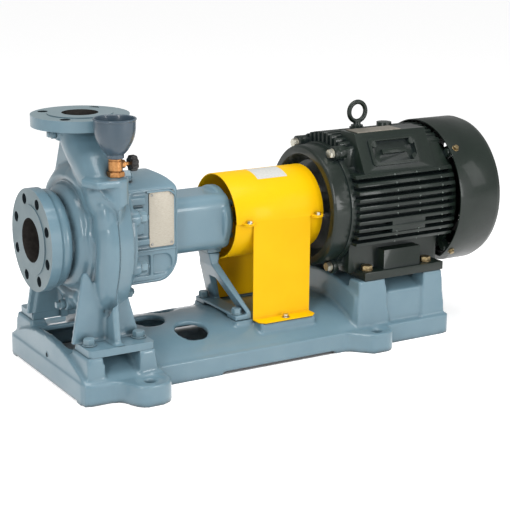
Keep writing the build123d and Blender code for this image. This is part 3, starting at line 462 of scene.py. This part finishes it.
def scroll_ring(work):
    """Adds the swelling channel of the scroll: round in front, with a flatter band behind its crest."""
    rings = []
    for angle in range(-100, 260, 3):
        outward_y = -cos(radians(angle))
        outward_z = sin(radians(angle))
        reach = scroll_reach(angle)
        round_front = [
            (crest + channel_round * cos(radians(t)), reach + channel_round * (sin(radians(t)) - 1))
            for t in range(90, 231, 10)
        ]
        inner_side = [(crest - 14, inner_reach), (casing_back, inner_reach)]
        flat_band = [(casing_back, reach - 11), (crest + 0.5, reach - 0.2)]
        ring = []
        for x, r in round_front + inner_side + flat_band:
            r = max(r, inner_reach) * mm
            ring.append(work.verts.new((suction_x + x * mm, r * outward_y, shaft_z + r * outward_z)))
        rings.append(ring)
    for row, following in zip(rings, rings[1:] + rings[:1]):
        for i in range(len(row)):
            k = (i + 1) % len(row)
            work.faces.new((row[k], row[i], following[i], following[k]))


def swell_branch(work):
    """Adds the stout hub behind the suction flange and the ring it runs into, with a deep line between."""
    hub = [(17, 60), (17, 84), (22, 84), (26, 87), (32, 88.5), (38, 88), (43, 85), (46, 80)]
    deep_line = [(47.5, 73), (49.5, 73)]
    ring = [(51, 79), (55, 86), (61, 92), (68, 95), (75, 96), (80, 94), (80, 60)]
    lathe(work, seat((suction_x, 0, shaft_z), (1, 0, 0)), hub + deep_line + ring + hub[:1], 96)


def fill_pocket(work, x, y, z, radius):
    """Rounds out a narrow pocket between two walls, as the sand core leaves it."""
    middle = Vector((suction_x + x * mm, y * mm, z * mm))
    bmesh.ops.create_icosphere(work, subdivisions=3, radius=radius * mm, matrix=Matrix.Translation(middle))


def slim_foot_ribs(work):
    """Draws the outer edge of each foot's cross rib in, so that the scroll hangs free above it."""
    top_y, top_z = 132, 210
    slim_top_y, slim_top_z = 117, 160
    bottom_y, slim_bottom_y = 158, 146
    for vert in work.verts:
        y, z = abs(vert.co.y) / mm, vert.co.z / mm
        if abs(z - top_z) < 2 and abs(y - top_y) < 2:
            vert.co.y *= slim_top_y / y
            vert.co.z = slim_top_z * mm
        elif abs(y - bottom_y) < 1 and vert.co.z > foot_top_z and abs(vert.co.x - crest_x) < 20 * mm:
            vert.co.y *= slim_bottom_y / y


def gusset(work, side):
    """Adds the flat triangle of a foot, which stands in front of the scroll."""
    outer_y, inner_y = 109.2 * mm, 99.0 * mm
    sunk = foot_top_z / mm - 4
    outline = [(28, sunk), (50, 214), (54, 220), (60, 220), (88, 170), (90, sunk)]
    front = [work.verts.new((suction_x + x * mm, side * outer_y, z * mm)) for x, z in outline]
    rear = [work.verts.new((suction_x + x * mm, side * inner_y, z * mm)) for x, z in outline]
    faces = [work.faces.new(front), work.faces.new(rear)]
    for i in range(len(outline)):
        k = (i + 1) % len(outline)
        faces.append(work.faces.new((front[i], front[k], rear[k], rear[i])))
    bmesh.ops.recalc_face_normals(work, faces=faces)


def groove_parting_line(work):
    """Sinks the line where the two halves of the mould met, between two thin ridges."""
    half_width, depth, ridge = 1.5, 1.0, 0.6
    for x, rise in ((crest - half_width, ridge), (crest, -depth), (crest + half_width, ridge)):
        everything = work.verts[:] + work.edges[:] + work.faces[:]
        line = (suction_x + x * mm, 0, 0)
        cut = bmesh.ops.bisect_plane(work, geom=everything, plane_co=line, plane_no=(1, 0, 0))
        for vert in [v for v in cut["geom_cut"] if isinstance(v, bmesh.types.BMVert)]:
            reach, angle = place_on_scroll(vert.co)
            on_crest = 144 < reach < 164
            between_foot_and_neck = -46 < angle < 33
            if on_crest and between_foot_and_neck:
                vert.co.y += rise * mm * vert.co.y / (reach * mm)
                vert.co.z += rise * mm * (vert.co.z - shaft_z) / (reach * mm)


rough_casting = clean_copy("volute_casing", False)
slim_foot_ribs(rough_casting)
rough_casting = recast(rough_casting, cell=2.4, rounds=1)
carve_front(rough_casting)
scroll_ring(rough_casting)
swell_branch(rough_casting)
fill_pocket(rough_casting, 88, -120, 339, radius=16)
fill_pocket(rough_casting, 98, -101, 139, radius=10)
for side in (-1, 1):
    gusset(rough_casting, side)
casing_skin = recast(rough_casting, cell=2.25, rounds=4)
groove_parting_line(casing_skin)

# The turned flanges and the milled feet keep the sharp edges of the solid: the round skin ends at
# them, to within 0.4 mm, and cut copies of the solid make them up.
cut_off(casing_skin, (branch_cut_x - 0.3 * mm, 0, 0), (-1, 0, 0))
cut_off(casing_skin, (0, 0, flange_under_z - 0.3 * mm), (0, 0, 1))
cut_off(casing_skin, (0, 0, foot_top_z + 0.35 * mm), (0, 0, -1))
suction_flange = cut_off(clean_copy("volute_casing", False), (branch_cut_x, 0, 0), (1, 0, 0))
past_flange = 100 * mm
cut_off(suction_flange, (0, 0, shaft_z + past_flange), (0, 0, 1))
cut_off(suction_flange, (0, 0, shaft_z - past_flange), (0, 0, -1))
join(casing_skin, suction_flange)
for height, outward in ((flange_under_z - 0.1 * mm, (0, 0, -1)), (foot_top_z + 0.1 * mm, (0, 0, 1))):
    join(casing_skin, cut_off(clean_copy("volute_casing", False), (0, 0, height), outward))
paint_casing(casing_skin)
piece("casing_casting", casing_skin, casing_finishes, ["volute_casing"], smooth=50)


# The lantern bracket: cover and square lantern in one casting. A blank stainless plate closes each
# side window and is held by a small round-head screw near every corner.
lantern_wall_y = 78 * mm


def raised_pad(work, side, x0, x1, z0, z1, proud):
    """Adds a flat cast pad to a side wall of the lantern."""
    spots = [(x0, z0), (x1, z0), (x1, z1), (x0, z1)]
    sunk_y = side * (lantern_wall_y - 6 * mm)
    proud_y = side * (lantern_wall_y + proud * mm)
    inner = [work.verts.new((suction_x + x * mm, sunk_y, z * mm)) for x, z in spots]
    outer = [work.verts.new((suction_x + x * mm, proud_y, z * mm)) for x, z in spots]
    faces = [work.faces.new(inner), work.faces.new(outer)]
    for i in range(4):
        k = (i + 1) % 4
        faces.append(work.faces.new((inner[i], inner[k], outer[k], outer[i])))
    bmesh.ops.recalc_face_normals(work, faces=faces)


def lay_bead(work, path, side, half_width, height):
    """Half-round bead on a side wall of the lantern, through (x, z) points in millimetres."""
    section = [(-1, -0.4), (-0.8, 0.35), (-0.4, 0.85), (0, 1), (0.4, 0.85), (0.8, 0.35), (1, -0.4)]
    wall = side * (lantern_wall_y - 0.1 * mm)
    spots = [Vector((suction_x + x * mm, wall, z * mm)) for x, z in path]
    outward = Vector((0, side, 0))
    rows = []
    for i, spot in enumerate(spots):
        ahead = (spots[min(i + 1, len(spots) - 1)] - spots[max(i - 1, 0)]).normalized()
        across = ahead.cross(outward)
        rows.append([work.verts.new(spot + across * half_width * a * mm + outward * height * b * mm)
                     for a, b in section])
    for row, following in zip(rows, rows[1:]):
        for i in range(len(section) - 1):
            corners = (row[i], row[i + 1], following[i + 1], following[i])
            work.faces.new(corners if side > 0 else corners[::-1])
    for row in (rows[0], rows[-1]):
        work.faces.new(row)


def round_corner(x, z, radius, start, end):
    """Points of a round corner, by steps of ten degrees, about a middle in x and z."""
    return [(x + radius * cos(radians(t)), z + radius * sin(radians(t))) for t in range(start, end - 1, -10)]


rough_lantern = clean_copy("lantern_bracket", False)
for side in (-1, 1):
    raised_pad(rough_lantern, side, 152, 186, 322, 336, proud=4)
    raised_pad(rough_lantern, side, 154, 183, 268, 317, proud=4)
    raised_pad(rough_lantern, side, 154, 193, 248, 259, proud=4)
lantern_skin = recast(rough_lantern, cell=1.9, rounds=3)
rim = [(190, 343)] + round_corner(229, 323, 20, 90, 0) + [(249, 300), (249, 260)]
rim += round_corner(209, 220, 40, 0, -90) + [(190, 180), (160, 180)]
window_sill = [(158, 236.5), (200, 236.5), (247, 236.5)]
for side in (-1, 1):
    lay_bead(lantern_skin, rim, side, half_width=2.0, height=1.8)
    lay_bead(lantern_skin, window_sill, side, half_width=2.2, height=2.0)
piece("lantern_casting", lantern_skin, pump_enamel, ["lantern_bracket"], smooth=60)


def rolled_metal(name, colour, deep, gloss, stretch=None, size=3.0):
    """Bare or plated metal with drawn or turned marks in it."""
    made, tree, shader = material(name, Metallic=1.0)
    marks = grain(tree, size, 4.0, 0.65, stretch)
    base = blend(tree, spread(tree, marks, 0.3, 0.7), colour, deep)
    # Painted shade: the metal's corners go dark brown-grey where the corner mask is strong.
    base = blend(tree, use(tree, corner_shade, Reach=5.0, Amount=0.7)["Mask"], base, paint(40, 36, 32))
    feed(tree, shader["Base Color"], base)
    feed(tree, shader["Roughness"], spread(tree, marks, 0.3, 0.7, gloss, gloss + 0.14))
    feed(tree, shader["Normal"], bump(tree, marks, 0.05, 0.35))
    return made


def ease_edges(name, width, corner=40):
    """The mesh of a CAD node with its edges over an angle rounded by a width in millimetres."""
    rounding = {"width": width * mm, "segments": 2, "limit_method": "ANGLE", "angle_limit": radians(corner)}
    return through_modifiers(clean_copy(name), [("BEVEL", rounding)])


stainless = rolled_metal("stainless_plate", paint(184, 178, 166), paint(166, 160, 148), 0.42, (1, 1, 12), 6.0)
bright_steel = rolled_metal("bright_steel", paint(178, 178, 176), paint(142, 142, 140), 0.3)
eased_plates = ease_edges("window_plates", 0.35)
piece("blank_window_plates", eased_plates, stainless, ["window_plates"])

plate_low, plate_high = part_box("window_plates")
screw_inset = 5.5 * mm
round_head = [(-0.2, 2.3), (0.35, 2.3), (0.8, 1.9), (1.05, 1.2), (0.7, 1.0), (0.7, 0)]
plate_screws = bmesh.new()
for y, side in ((plate_low[1], -1), (plate_high[1], 1)):
    for x in (plate_low[0] + screw_inset, plate_high[0] - screw_inset):
        for z in (plate_low[2] + screw_inset, plate_high[2] - screw_inset):
            lathe(plate_screws, seat((x, y, z), (0, side, 0)), round_head, 20)
piece("plate_screws", plate_screws, bright_steel)


# The bearing housing with its cover, and the support leg under it: three iron castings, painted
# with the pump. The housing and the leg are left round from the mould, and the cover is turned.
housing_skin = recast(clean_copy("bearing_housing", False), cell=1.8, rounds=4)
piece("housing_casting", housing_skin, pump_enamel, ["bearing_housing"], smooth=60)
leg_skin = recast(clean_copy("support_leg", False), cell=1.6, rounds=4)
piece("leg_casting", leg_skin, pump_enamel, ["support_leg"], smooth=60)
piece("cover_casting", ease_edges("bearing_cover", 0.6), pump_enamel, ["bearing_cover"])


# Nuts, bolts and plugs of the pump: forged hexagons with turned chamfers on flat washers, painted
# with the set, so the enamel has run round their feet; their corners are lighter, for worn paint and for
# painted glints.
def islands(name):
    """Lowest and highest corner of each separate solid in a CAD node."""
    work = clean_copy(name, False)
    left = set(work.verts)
    found = []
    while left:
        solid, edge = set(), [left.pop()]
        while edge:
            vert = edge.pop()
            solid.add(vert)
            for link in vert.link_edges:
                other = link.other_vert(vert)
                if other in left:
                    left.discard(other)
                    edge.append(other)
        spots = [v.co for v in solid]
        low = Vector([min(s[i] for s in spots) for i in range(3)])
        high = Vector([max(s[i] for s in spots) for i in range(3)])
        found.append((low, high))
    work.free()
    return found


def hexagon(work, place, across, low, high):
    """Hexagon whose outer end has the round chamfer that a lathe cuts across its corners."""
    count = 48
    flat = across / 2
    round_edge = flat * 0.97
    chamfer = tan(radians(30))
    lower, upper, inner = [], [], []
    for i in range(count):
        a = 2 * pi * i / count
        r = flat / cos((a + pi / 6) % (pi / 3) - pi / 6)
        drop = max(0.0, r - round_edge) * chamfer
        for ring, radius, height in ((lower, r, low), (upper, r, high - drop), (inner, round_edge, high)):
            spot = Vector((radius * cos(a) * mm, radius * sin(a) * mm, height * mm))
            ring.append(work.verts.new(place @ spot))
    for i in range(count):
        k = (i + 1) % count
        work.faces.new((lower[i], lower[k], upper[k], upper[i]))
        work.faces.new((upper[i], upper[k], inner[k], inner[i]))
    work.faces.new(inner)


def washer(work, place, radius, thickness):
    """Stamped flat washer with a rounded rim."""
    lathe(work, place, [(0, radius - 0.4), (0.3, radius), (thickness - 0.4, radius),
                        (thickness, radius - 0.5), (thickness, 0)], 36)


def stud_end(work, place, radius, low, high):
    """Rolled thread and round point of a stud that stands out of its nut."""
    pitch = 1.5
    profile = [(low, radius)]
    height = low
    while height + pitch < high - 1:
        profile += [(height + pitch / 2, radius - 0.6), (height + pitch, radius)]
        height += pitch
    profile += [(high - 0.6, radius - 0.9), (high, radius - 2.2), (high, 0)]
    lathe(work, place, profile, 28)


bolt_enamel = enamel("bolt_enamel", paint(124, 152, 164), paint(112, 140, 152), paint(172, 186, 190),
                     0.3, {"Grain": 1.2, "Wave": 9.0}, wear_and_glint=0.6)

washer_thick = 2
nut_top = 14
stud_top = 19.5
casing_nuts = bmesh.new()
for low, high in islands("casing_nuts"):
    middle = (low + high) / 2
    place = seat((low.x, middle.y, middle.z), (1, 0, 0)) @ Matrix.Rotation(middle.y * 40, 4, "Z")
    washer(casing_nuts, place, radius=12, thickness=washer_thick)
    hexagon(casing_nuts, place, across=19, low=washer_thick, high=nut_top)
    stud_end(casing_nuts, place, radius=6, low=nut_top, high=stud_top)
piece("casing_stud_nuts", casing_nuts, bolt_enamel, ["casing_nuts"], smooth=30)

for name, across_flats, washer_radius in (("pump_foot_bolts", 19, 13), ("leg_bolts", 17, 10.5)):
    foot_bolts = bmesh.new()
    for low, high in islands(name):
        middle = (low + high) / 2
        chance_turn = Matrix.Rotation(middle.x * 31 + middle.y * 17, 4, "Z")
        place = seat((middle.x, middle.y, low.z), (0, 0, 1)) @ chance_turn
        washer(foot_bolts, place, washer_radius, washer_thick)
        hexagon(foot_bolts, place, across_flats, washer_thick, (high.z - low.z) / mm)
    piece(name + "_forged", foot_bolts, bolt_enamel, [name], smooth=30)

for name in ("gauge_plug", "drain_plug"):
    piece(name + "_forged", ease_edges(name, 0.8), bolt_enamel, [name])


# Priming cup and cock: a cast iron cup with a rolled rim, screwed on a gunmetal cock whose
# spindle is turned by a small black star knob.
cup_enamel = enamel("cup_enamel", paint(66, 84, 98), paint(60, 78, 91), paint(130, 144, 152),
                    0.32, {"Grain": 1.8, "Wave": 14.0})
cup_low, cup_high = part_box("priming_cup")
cup_middle = ((cup_low[0] + cup_high[0]) / 2, (cup_low[1] + cup_high[1]) / 2, cup_low[2])
cup_spigot = [(0, 4), (0, 14.2), (0.8, 15), (6.2, 15), (7.2, 15.6)]
cup_outside = [(9.5, 18.2), (13, 21.4), (17.5, 24.6), (23, 27.8), (29, 30.8), (36, 33.4), (43, 35.0),
               (51, 35.9), (60, 36.1), (64.6, 36.2)]
cup_rim = [(65.6, 37.0), (66.4, 37.45), (67.8, 37.5), (68.7, 37.0), (69, 36.2), (68.7, 35.0), (67.6, 34.0)]
cup_inside = [(60, 32.9), (52, 32.4), (44, 31.4), (36, 29.4), (29, 26.6), (23, 22.6), (18.5, 17.6),
              (15, 11.6), (12.6, 6), (12, 4), (0, 4)]
cup = bmesh.new()
lathe(cup, Matrix.Translation(cup_middle), cup_spigot + cup_outside + cup_rim + cup_inside, 72)
piece("cast_cup", cup, cup_enamel, ["priming_cup"], smooth=32)

gunmetal = rolled_metal("gunmetal", paint(200, 150, 98), paint(172, 116, 70), 0.3)
cock_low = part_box("cock_body")[0]
cock_x = (cup_low[0] + cup_high[0]) / 2
cock_y = (cup_low[1] + cup_high[1]) / 2
knob_low, knob_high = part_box("cock_knob")
spindle_z = (knob_low[2] + knob_high[2]) / 2
cock_barrel = [(8.2, 11.6), (9.6, 11.6), (10.6, 12.4), (18, 12.4), (26.5, 12.4), (27.2, 11.4), (28.2, 11.4),
               (28.8, 12.3), (30.6, 12.3), (31, 11.8), (31, 0)]
arm_boss = [(8, 7.4), (13.2, 6.6), (13.4, 5.4), (14, 5.4)]
arm_lip = [(17, 5.0), (18, 4.6), (18, 3.7), (16, 3.7)]
cock = bmesh.new()
upright = Matrix.Translation((cock_x, cock_y, cock_low[2]))
hexagon(cock, upright, across=26.5, low=0, high=8.6)
lathe(cock, upright, cock_barrel, 48)
arm = seat((cock_x, cock_y, spindle_z), (1, 0, 0))
lathe(cock, arm, arm_boss, 32)
hexagon(cock, arm, across=13, low=13.4, high=17.2)
lathe(cock, arm, arm_lip, 32)
piece("gunmetal_cock", cock, gunmetal, ["cock_body"], smooth=30)
dress("cock_spindle", gunmetal)


def moulding(name, colour, deep, gloss):
    """Moulded resin with a faint satin texture."""
    made, tree, shader = material(name)
    fleck = grain(tree, 0.8, 3.0, 0.6)
    feed(tree, shader["Base Color"], blend(tree, spread(tree, fleck, 0.3, 0.7), colour, deep))
    feed(tree, shader["Roughness"], spread(tree, fleck, 0.3, 0.7, gloss, gloss + 0.12))
    feed(tree, shader["Normal"], bump(tree, fleck, 0.06, 0.4))
    return made


black_resin = moulding("black_resin", paint(34, 32, 32), paint(24, 22, 22), 0.3)
knob_radius = 14.45
hollow_depth = 2.2
lobes = 8
knob_steps = 96
knob_sides = [(0, 2.4), (0.6, 1.0), (1.8, 0.2), (6.5, 0), (11.2, 0.2), (12.4, 1.0), (13, 2.4), (12.5, 6.5),
              (12.1, 7.2)]
knob = bmesh.new()
knob_rows = []
for height, shrink in knob_sides:
    x = knob_low[0] + height * mm
    ring = []
    for i in range(knob_steps):
        a = 2 * pi * i / knob_steps
        r = knob_radius - shrink - hollow_depth * (0.5 + 0.5 * cos(lobes * a)) ** 2
        ring.append(knob.verts.new((x, cock_y + r * cos(a) * mm, spindle_z + r * sin(a) * mm)))
    knob_rows.append(ring)
for row, following in zip(knob_rows, knob_rows[1:]):
    for i in range(knob_steps):
        k = (i + 1) % knob_steps
        knob.faces.new((row[i], row[k], following[k], following[i]))
knob.faces.new(knob_rows[0])
knob.faces.new(knob_rows[-1])
piece("star_knob", knob, black_resin, ["cock_knob"], body="knob", smooth=50)
screw_x = knob_high[0] - 0.9 * mm
screw_head = [(-0.5, 3.6), (0.3, 3.6), (0.75, 2.8), (0.85, 0)]
knob_screw = bmesh.new()
lathe(knob_screw, seat((screw_x, cock_y, spindle_z), (1, 0, 0)), screw_head, 24)
piece("knob_screw", knob_screw, bright_steel, body="knob")


# Shafts, impeller and coupling: turned steel and bare iron, seen through the suction bore and
# past the ends of the guard.
bare_iron = rolled_metal("bare_iron", paint(112, 108, 104), paint(78, 72, 66), 0.5)
for name in ("pump_shaft", "motor_shaft", "fan_shaft"):
    dress(name, bright_steel)
for name in ("impeller", "pump_coupling_half", "motor_coupling_half"):
    dress(name, bare_iron)


# The coupling guard: two pieces of 2 mm sheet, rolled and folded, powder coated in yellow, with
# zinc plated screws in the seam tabs and feet. A blank label is stuck on its crown.
guard_yellow = enamel("guard_yellow", paint(250, 196, 0), paint(246, 190, 0), paint(255, 218, 70),
                      0.42, {"Grain": 1.0, "Wave": 40.0, "Grit": 0.3},
                      wear_and_glint=0.2, painted_shade=0.3, lacquer=0.06, shine=0.15)
for name in ("guard_upper", "guard_lower"):
    piece(name + "_sheet", ease_edges(name, 0.5), guard_yellow, [name], smooth=25)

label_film, tree, shader = material("label_film", Roughness=0.45)
weave = grain(tree, 3.0, 3.0, 0.6)
faded = spread(tree, weave, 0.3, 0.7)
feed(tree, shader["Base Color"], blend(tree, faded, paint(214, 214, 208), paint(196, 196, 192)))
feed(tree, shader["Normal"], bump(tree, weave, 0.03, 0.4))
drum_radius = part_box("guard_upper")[1][2] - shaft_z
label_ends = (-35 * mm, 30 * mm)
label_thick = 0.35
label_from, label_turn = 61, 33
label_steps = 24
label = bmesh.new()
stuck, outer = [], []
for rows, lift in ((stuck, 0.0), (outer, label_thick)):
    r = drum_radius + lift * mm
    for i in range(label_steps + 1):
        a = radians(label_from + label_turn * i / label_steps)
        rows.append([label.verts.new((x, -r * cos(a), shaft_z + r * sin(a))) for x in label_ends])
for i in range(label_steps):
    label.faces.new((outer[i][0], outer[i][1], outer[i + 1][1], outer[i + 1][0]))
    for end in (0, 1):
        label.faces.new((stuck[i][end], stuck[i + 1][end], outer[i + 1][end], outer[i][end]))
for i in (0, label_steps):
    label.faces.new((stuck[i][0], stuck[i][1], outer[i][1], outer[i][0]))
piece("blank_guard_label", label, label_film)

zinc = rolled_metal("zinc_plate", paint(222, 220, 208), paint(186, 182, 166), 0.26)
yellow_zinc = rolled_metal("yellow_zinc", paint(186, 168, 128), paint(128, 108, 78), 0.34)


def plated_bolts(node, outward_of, dimensions, plating=zinc):
    """Hexagon bolts with washers in the place of a CAD node's solids.

    outward_of gives a bolt's foot and direction. dimensions gives, in millimetres, the radius and
    the thickness of its washer, the width across its flats and its height.
    """
    work = bmesh.new()
    for low, high in islands(node):
        middle = (low + high) / 2
        foot, outward = outward_of(low, high, middle)
        place = seat(foot, outward) @ Matrix.Rotation(middle.x * 53 + middle.y * 29, 4, "Z")
        washer_radius, thick, across_flats, height = dimensions(low, high)
        washer(work, place, washer_radius, thick)
        hexagon(work, place, across_flats, thick, height)
    piece(node + "_plated", work, plating, [node], smooth=30)


def standing(low, high, middle):
    """Foot and direction of a bolt that stands upright."""
    return (middle.x, middle.y, low.z), (0, 0, 1)


def guard_screw_sizes(low, high):
    """Dimensions of a small screw for a seam tab and of a larger one for a foot."""
    in_a_tab = high.x - low.x < 13 * mm
    return (5.5, 1, 8, 5) if in_a_tab else (8, 1, 10, 6)


plated_bolts("guard_screws", standing, guard_screw_sizes)


# The motor: a finned frame and two shields cast in iron, sprayed very dark green in satin enamel.
# Plated bolts hold the shields and feet, and a blank plate lies on the pad beside the eyebolt.
# The motor's edges turn lighter, for worn paint and for painted glints along the fins.
motor_enamel = enamel("motor_enamel", paint(24, 36, 29), paint(18, 28, 23), paint(66, 76, 68),
                      0.34, {"Grain": 1.4, "Wave": 16.0}, wear_and_glint=0.4, painted_shade=0.8, lacquer=0.3, shine=0.3)
for name, width in (("motor_frame", 1.0), ("drive_end_shield", 1.0), ("rear_shield", 0.8)):
    piece(name + "_casting", ease_edges(name, width, 35), motor_enamel, [name], smooth=25)
eased_eye = ease_edges("eyebolt", 0.5, 35)
piece("eyebolt_casting", eased_eye, motor_enamel, ["eyebolt"], smooth=25)


def fin_tips(skin, x):
    """Outermost points of the fins on the near and far side, at one place along the motor."""
    probe_from = 300 * mm
    probe_step = 0.8 * mm
    fin_reach = 110 * mm
    step_in = 2 * mm
    found = []
    for side in (-1, 1):
        touched = []
        for step in range(-130, 130):
            start = Vector((x, side * probe_from, shaft_z + step * probe_step))
            touched.append(skin.ray_cast(start, Vector((0, -side, 0)))[0])
        for low, here, high in zip(touched, touched[1:], touched[2:]):
            if here and low and high and abs(here.y) > abs(low.y) + step_in and abs(here.y) > fin_reach:
                flat_tip = abs(high.y - here.y) < 1 * mm
                found.append((here + (high - here) * 0.5 if flat_tip else here, side))
    return found


frame_low, frame_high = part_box("motor_frame")
frame_body = clean_copy("motor_frame", False)
frame_skin = BVHTree.FromBMesh(frame_body)
frame_body.free()
pip_shape = [(0, 2.2), (0.8, 2.1), (1.6, 1.5), (2.0, 0.7), (2.1, 0)]
pip_sunk = 0.8 * mm
fin_pips = bmesh.new()
for share in (0.42, 0.64, 0.87):
    for spot, side in fin_tips(frame_skin, frame_low[0] + share * (frame_high[0] - frame_low[0])):
        lathe(fin_pips, seat(spot - Vector((0, side * pip_sunk, 0)), (0, side, 0)), pip_shape, 14)
# Painted glints: the pips are painted lighter than the motor, their edges lighter still, so that they show as
# small glints of light on the fin tips.
pip_glint_enamel = enamel("pip_glint_enamel", paint(60, 74, 66), paint(46, 58, 51), paint(150, 156, 148),
                    0.22, {"Grain": 1.0, "Wave": 9.0}, wear_and_glint=1.0, painted_shade=0.0, lacquer=0.9, shine=0.6)
piece("fin_pips", fin_pips, pip_glint_enamel, smooth=60)


def facing_pump(low, high, middle):
    """Foot and direction of a bolt that lies along the shaft, with its head towards the pump."""
    return (high.x, middle.y, middle.z), (-1, 0, 0)


plated_bolts("shield_bolts", facing_pump, lambda low, high: (10, 1.6, 16, 9.5))
plated_bolts("motor_foot_bolts", standing, lambda low, high: (12, 2, 19, 10), yellow_zinc)
dress("motor_plate", stainless)


# The fan cowl: drawn steel sheet with slots in its back, sprayed with the motor. Four plated screws
# hold it round the front edge, and a moulded fan sits inside it.
piece("cowl_sheet", ease_edges("fan_cowl", 0.5), motor_enamel, ["fan_cowl"], smooth=25)
dress("cooling_fan", black_resin)


def cowl_screw_seat(low, high, middle):
    """Foot and direction of a screw that points out from the shaft's line, on the wall of the cowl."""
    cowl_radius = 147.3 * mm
    outward = Vector((0, middle.y, middle.z - shaft_z)).normalized()
    return Vector((middle.x, 0, shaft_z)) + outward * cowl_radius, outward


plated_bolts("cowl_bolts", cowl_screw_seat, lambda low, high: (7, 1, 9, 6), yellow_zinc)


# The terminal box on the far side of the motor: a cast box and a lid with four screws, sprayed with
# the motor, and a moulded gland in its wall.
for name in ("terminal_box", "terminal_lid"):
    piece(name + "_casting", ease_edges(name, 0.8), motor_enamel, [name], smooth=25)
dress("cable_gland", black_resin)


# The floor, the camera and the light: a sheet of white card under four soft lamps and a white sky,
# seen from a little above the near side, in front of the suction flange.
camera_azimuth = radians(-30.6595)
camera_elevation = radians(15.0047)
camera_roll = radians(0.429)
camera_place = Vector((-1.4031, -2.3398, 0.9044))
back = Vector((sin(camera_azimuth) * cos(camera_elevation), -cos(camera_azimuth) * cos(camera_elevation),
               sin(camera_elevation)))
level = Vector((cos(camera_azimuth), sin(camera_azimuth), 0))
plumb = back.cross(level)
across = cos(camera_roll) * level + sin(camera_roll) * plumb
upward = -sin(camera_roll) * level + cos(camera_roll) * plumb
lens = bpy.data.cameras.new("camera")
lens.sensor_width = 36.0
lens.lens = 102.82
lens.clip_end = 50.0
camera = bpy.data.objects.new("camera", lens)
camera.matrix_world = Matrix.Translation(camera_place) @ Matrix((across, upward, back)).transposed().to_4x4()
bpy.context.scene.collection.objects.link(camera)
bpy.context.scene.camera = camera


def floor_shadow_patch(tree):
    """1 on the patch of floor under the base, which no lamp reaches, and 0 elsewhere. The patch reaches past
    the base's far side, where the floor left darker is a painted shadow.
    """
    half_length = (base_high[0] - base_low[0]) / 2 - 18 * mm
    half_width = 149 * mm
    wide_end_x = base_low[0] + 90 * mm
    wide_end_half = 60 * mm
    wide_end_extra = 26 * mm
    towards_far_side = 10 * mm
    place = add(tree, "SeparateXYZ", Vector=add(tree, "TexCoord").outputs["Object"]).outputs
    off_middle = calc(tree, "ABSOLUTE", calc(tree, "SUBTRACT", place["X"], (base_low[0] + base_high[0]) / 2))
    inside_length = calc(tree, "LESS_THAN", off_middle, half_length)
    off_wide_end = calc(tree, "ABSOLUTE", calc(tree, "SUBTRACT", place["X"], wide_end_x))
    wider = calc(tree, "MULTIPLY", calc(tree, "LESS_THAN", off_wide_end, wide_end_half), wide_end_extra)
    off_side = calc(tree, "ABSOLUTE", calc(tree, "SUBTRACT", place["Y"], towards_far_side))
    inside_width = calc(tree, "LESS_THAN", off_side, calc(tree, "ADD", wider, half_width))
    return calc(tree, "MULTIPLY", inside_length, inside_width)


def white_paper(name, strength):
    """White card that still takes the object's shadow, and shows as white paper to the camera."""
    made, tree, shader = material(name, Roughness=0.8)
    fibre = spread(tree, grain(tree, 40.0, 2.0), 0.3, 0.7, 0.0, 1.0)
    feed(tree, shader["Base Color"], blend(tree, fibre, (0.84, 0.84, 0.84, 1), (0.86, 0.86, 0.86, 1)))
    seen = add(tree, "LightPath").outputs
    direct = calc(tree, "MAXIMUM", seen["Is Camera Ray"], seen["Is Glossy Ray"])
    direct = calc(tree, "MAXIMUM", direct, seen["Is Transmission Ray"])
    shader["Emission Color"].default_value = (1, 1, 1, 1)
    # The floor does not glow on the patch, so it shows its own shade under the base and a painted shadow
    # along the base's far side.
    open_floor = calc(tree, "SUBTRACT", 1.0, floor_shadow_patch(tree))
    direct = calc(tree, "MULTIPLY", direct, open_floor)
    feed(tree, shader["Emission Strength"], calc(tree, "MULTIPLY", direct, strength))
    return made


card = bmesh.new()
bmesh.ops.create_grid(card, x_segments=1, y_segments=1, size=9.0)
floor_mesh = bpy.data.meshes.new("floor")
card.to_mesh(floor_mesh)
card.free()
floor_mesh.materials.append(white_paper("white_floor", 0.6))
floor = bpy.data.objects.new("floor", floor_mesh)
bpy.context.scene.collection.objects.link(floor)

world = bpy.data.worlds.new("studio")
bpy.context.scene.world = world
world.use_nodes = True
sky = world.node_tree
background = sky.nodes["Background"]
seen = add(sky, "LightPath").outputs
direct = calc(sky, "MAXIMUM", seen["Is Camera Ray"], seen["Is Transmission Ray"])
background.inputs["Color"].default_value = (1, 1, 1, 1)
feed(sky, background.inputs["Strength"], spread(sky, direct, 0.0, 1.0, 0.42, 1.0))


def soft_lamp(name, place, aim, width, height, power):
    """A wide soft box that hangs at a place and looks at a point."""
    light = bpy.data.lights.new(name, "AREA")
    light.shape = "RECTANGLE"
    light.size = width
    light.size_y = height
    light.energy = power
    made = bpy.data.objects.new(name, light)
    made.location = place
    made.rotation_euler = (Vector(aim) - Vector(place)).to_track_quat("-Z", "Y").to_euler()
    bpy.context.scene.collection.objects.link(made)


soft_lamp("top_box", (-0.3, -0.4, 2.4), (0, 0, 0.2), width=2.2, height=1.2, power=36)
soft_lamp("front_box", (-2.2, -1.7, 1.3), (0, 0, 0.25), width=0.5, height=1.5, power=24)
soft_lamp("strip_box", (0.9, -2.5, 0.75), (-0.2, 0, 0.25), width=0.4, height=1.1, power=15)
soft_lamp("side_box", (1.9, -2.0, 1.4), (0.1, 0, 0.25), width=0.8, height=1.5, power=9)

bpy.context.scene.view_settings.view_transform = "Standard"
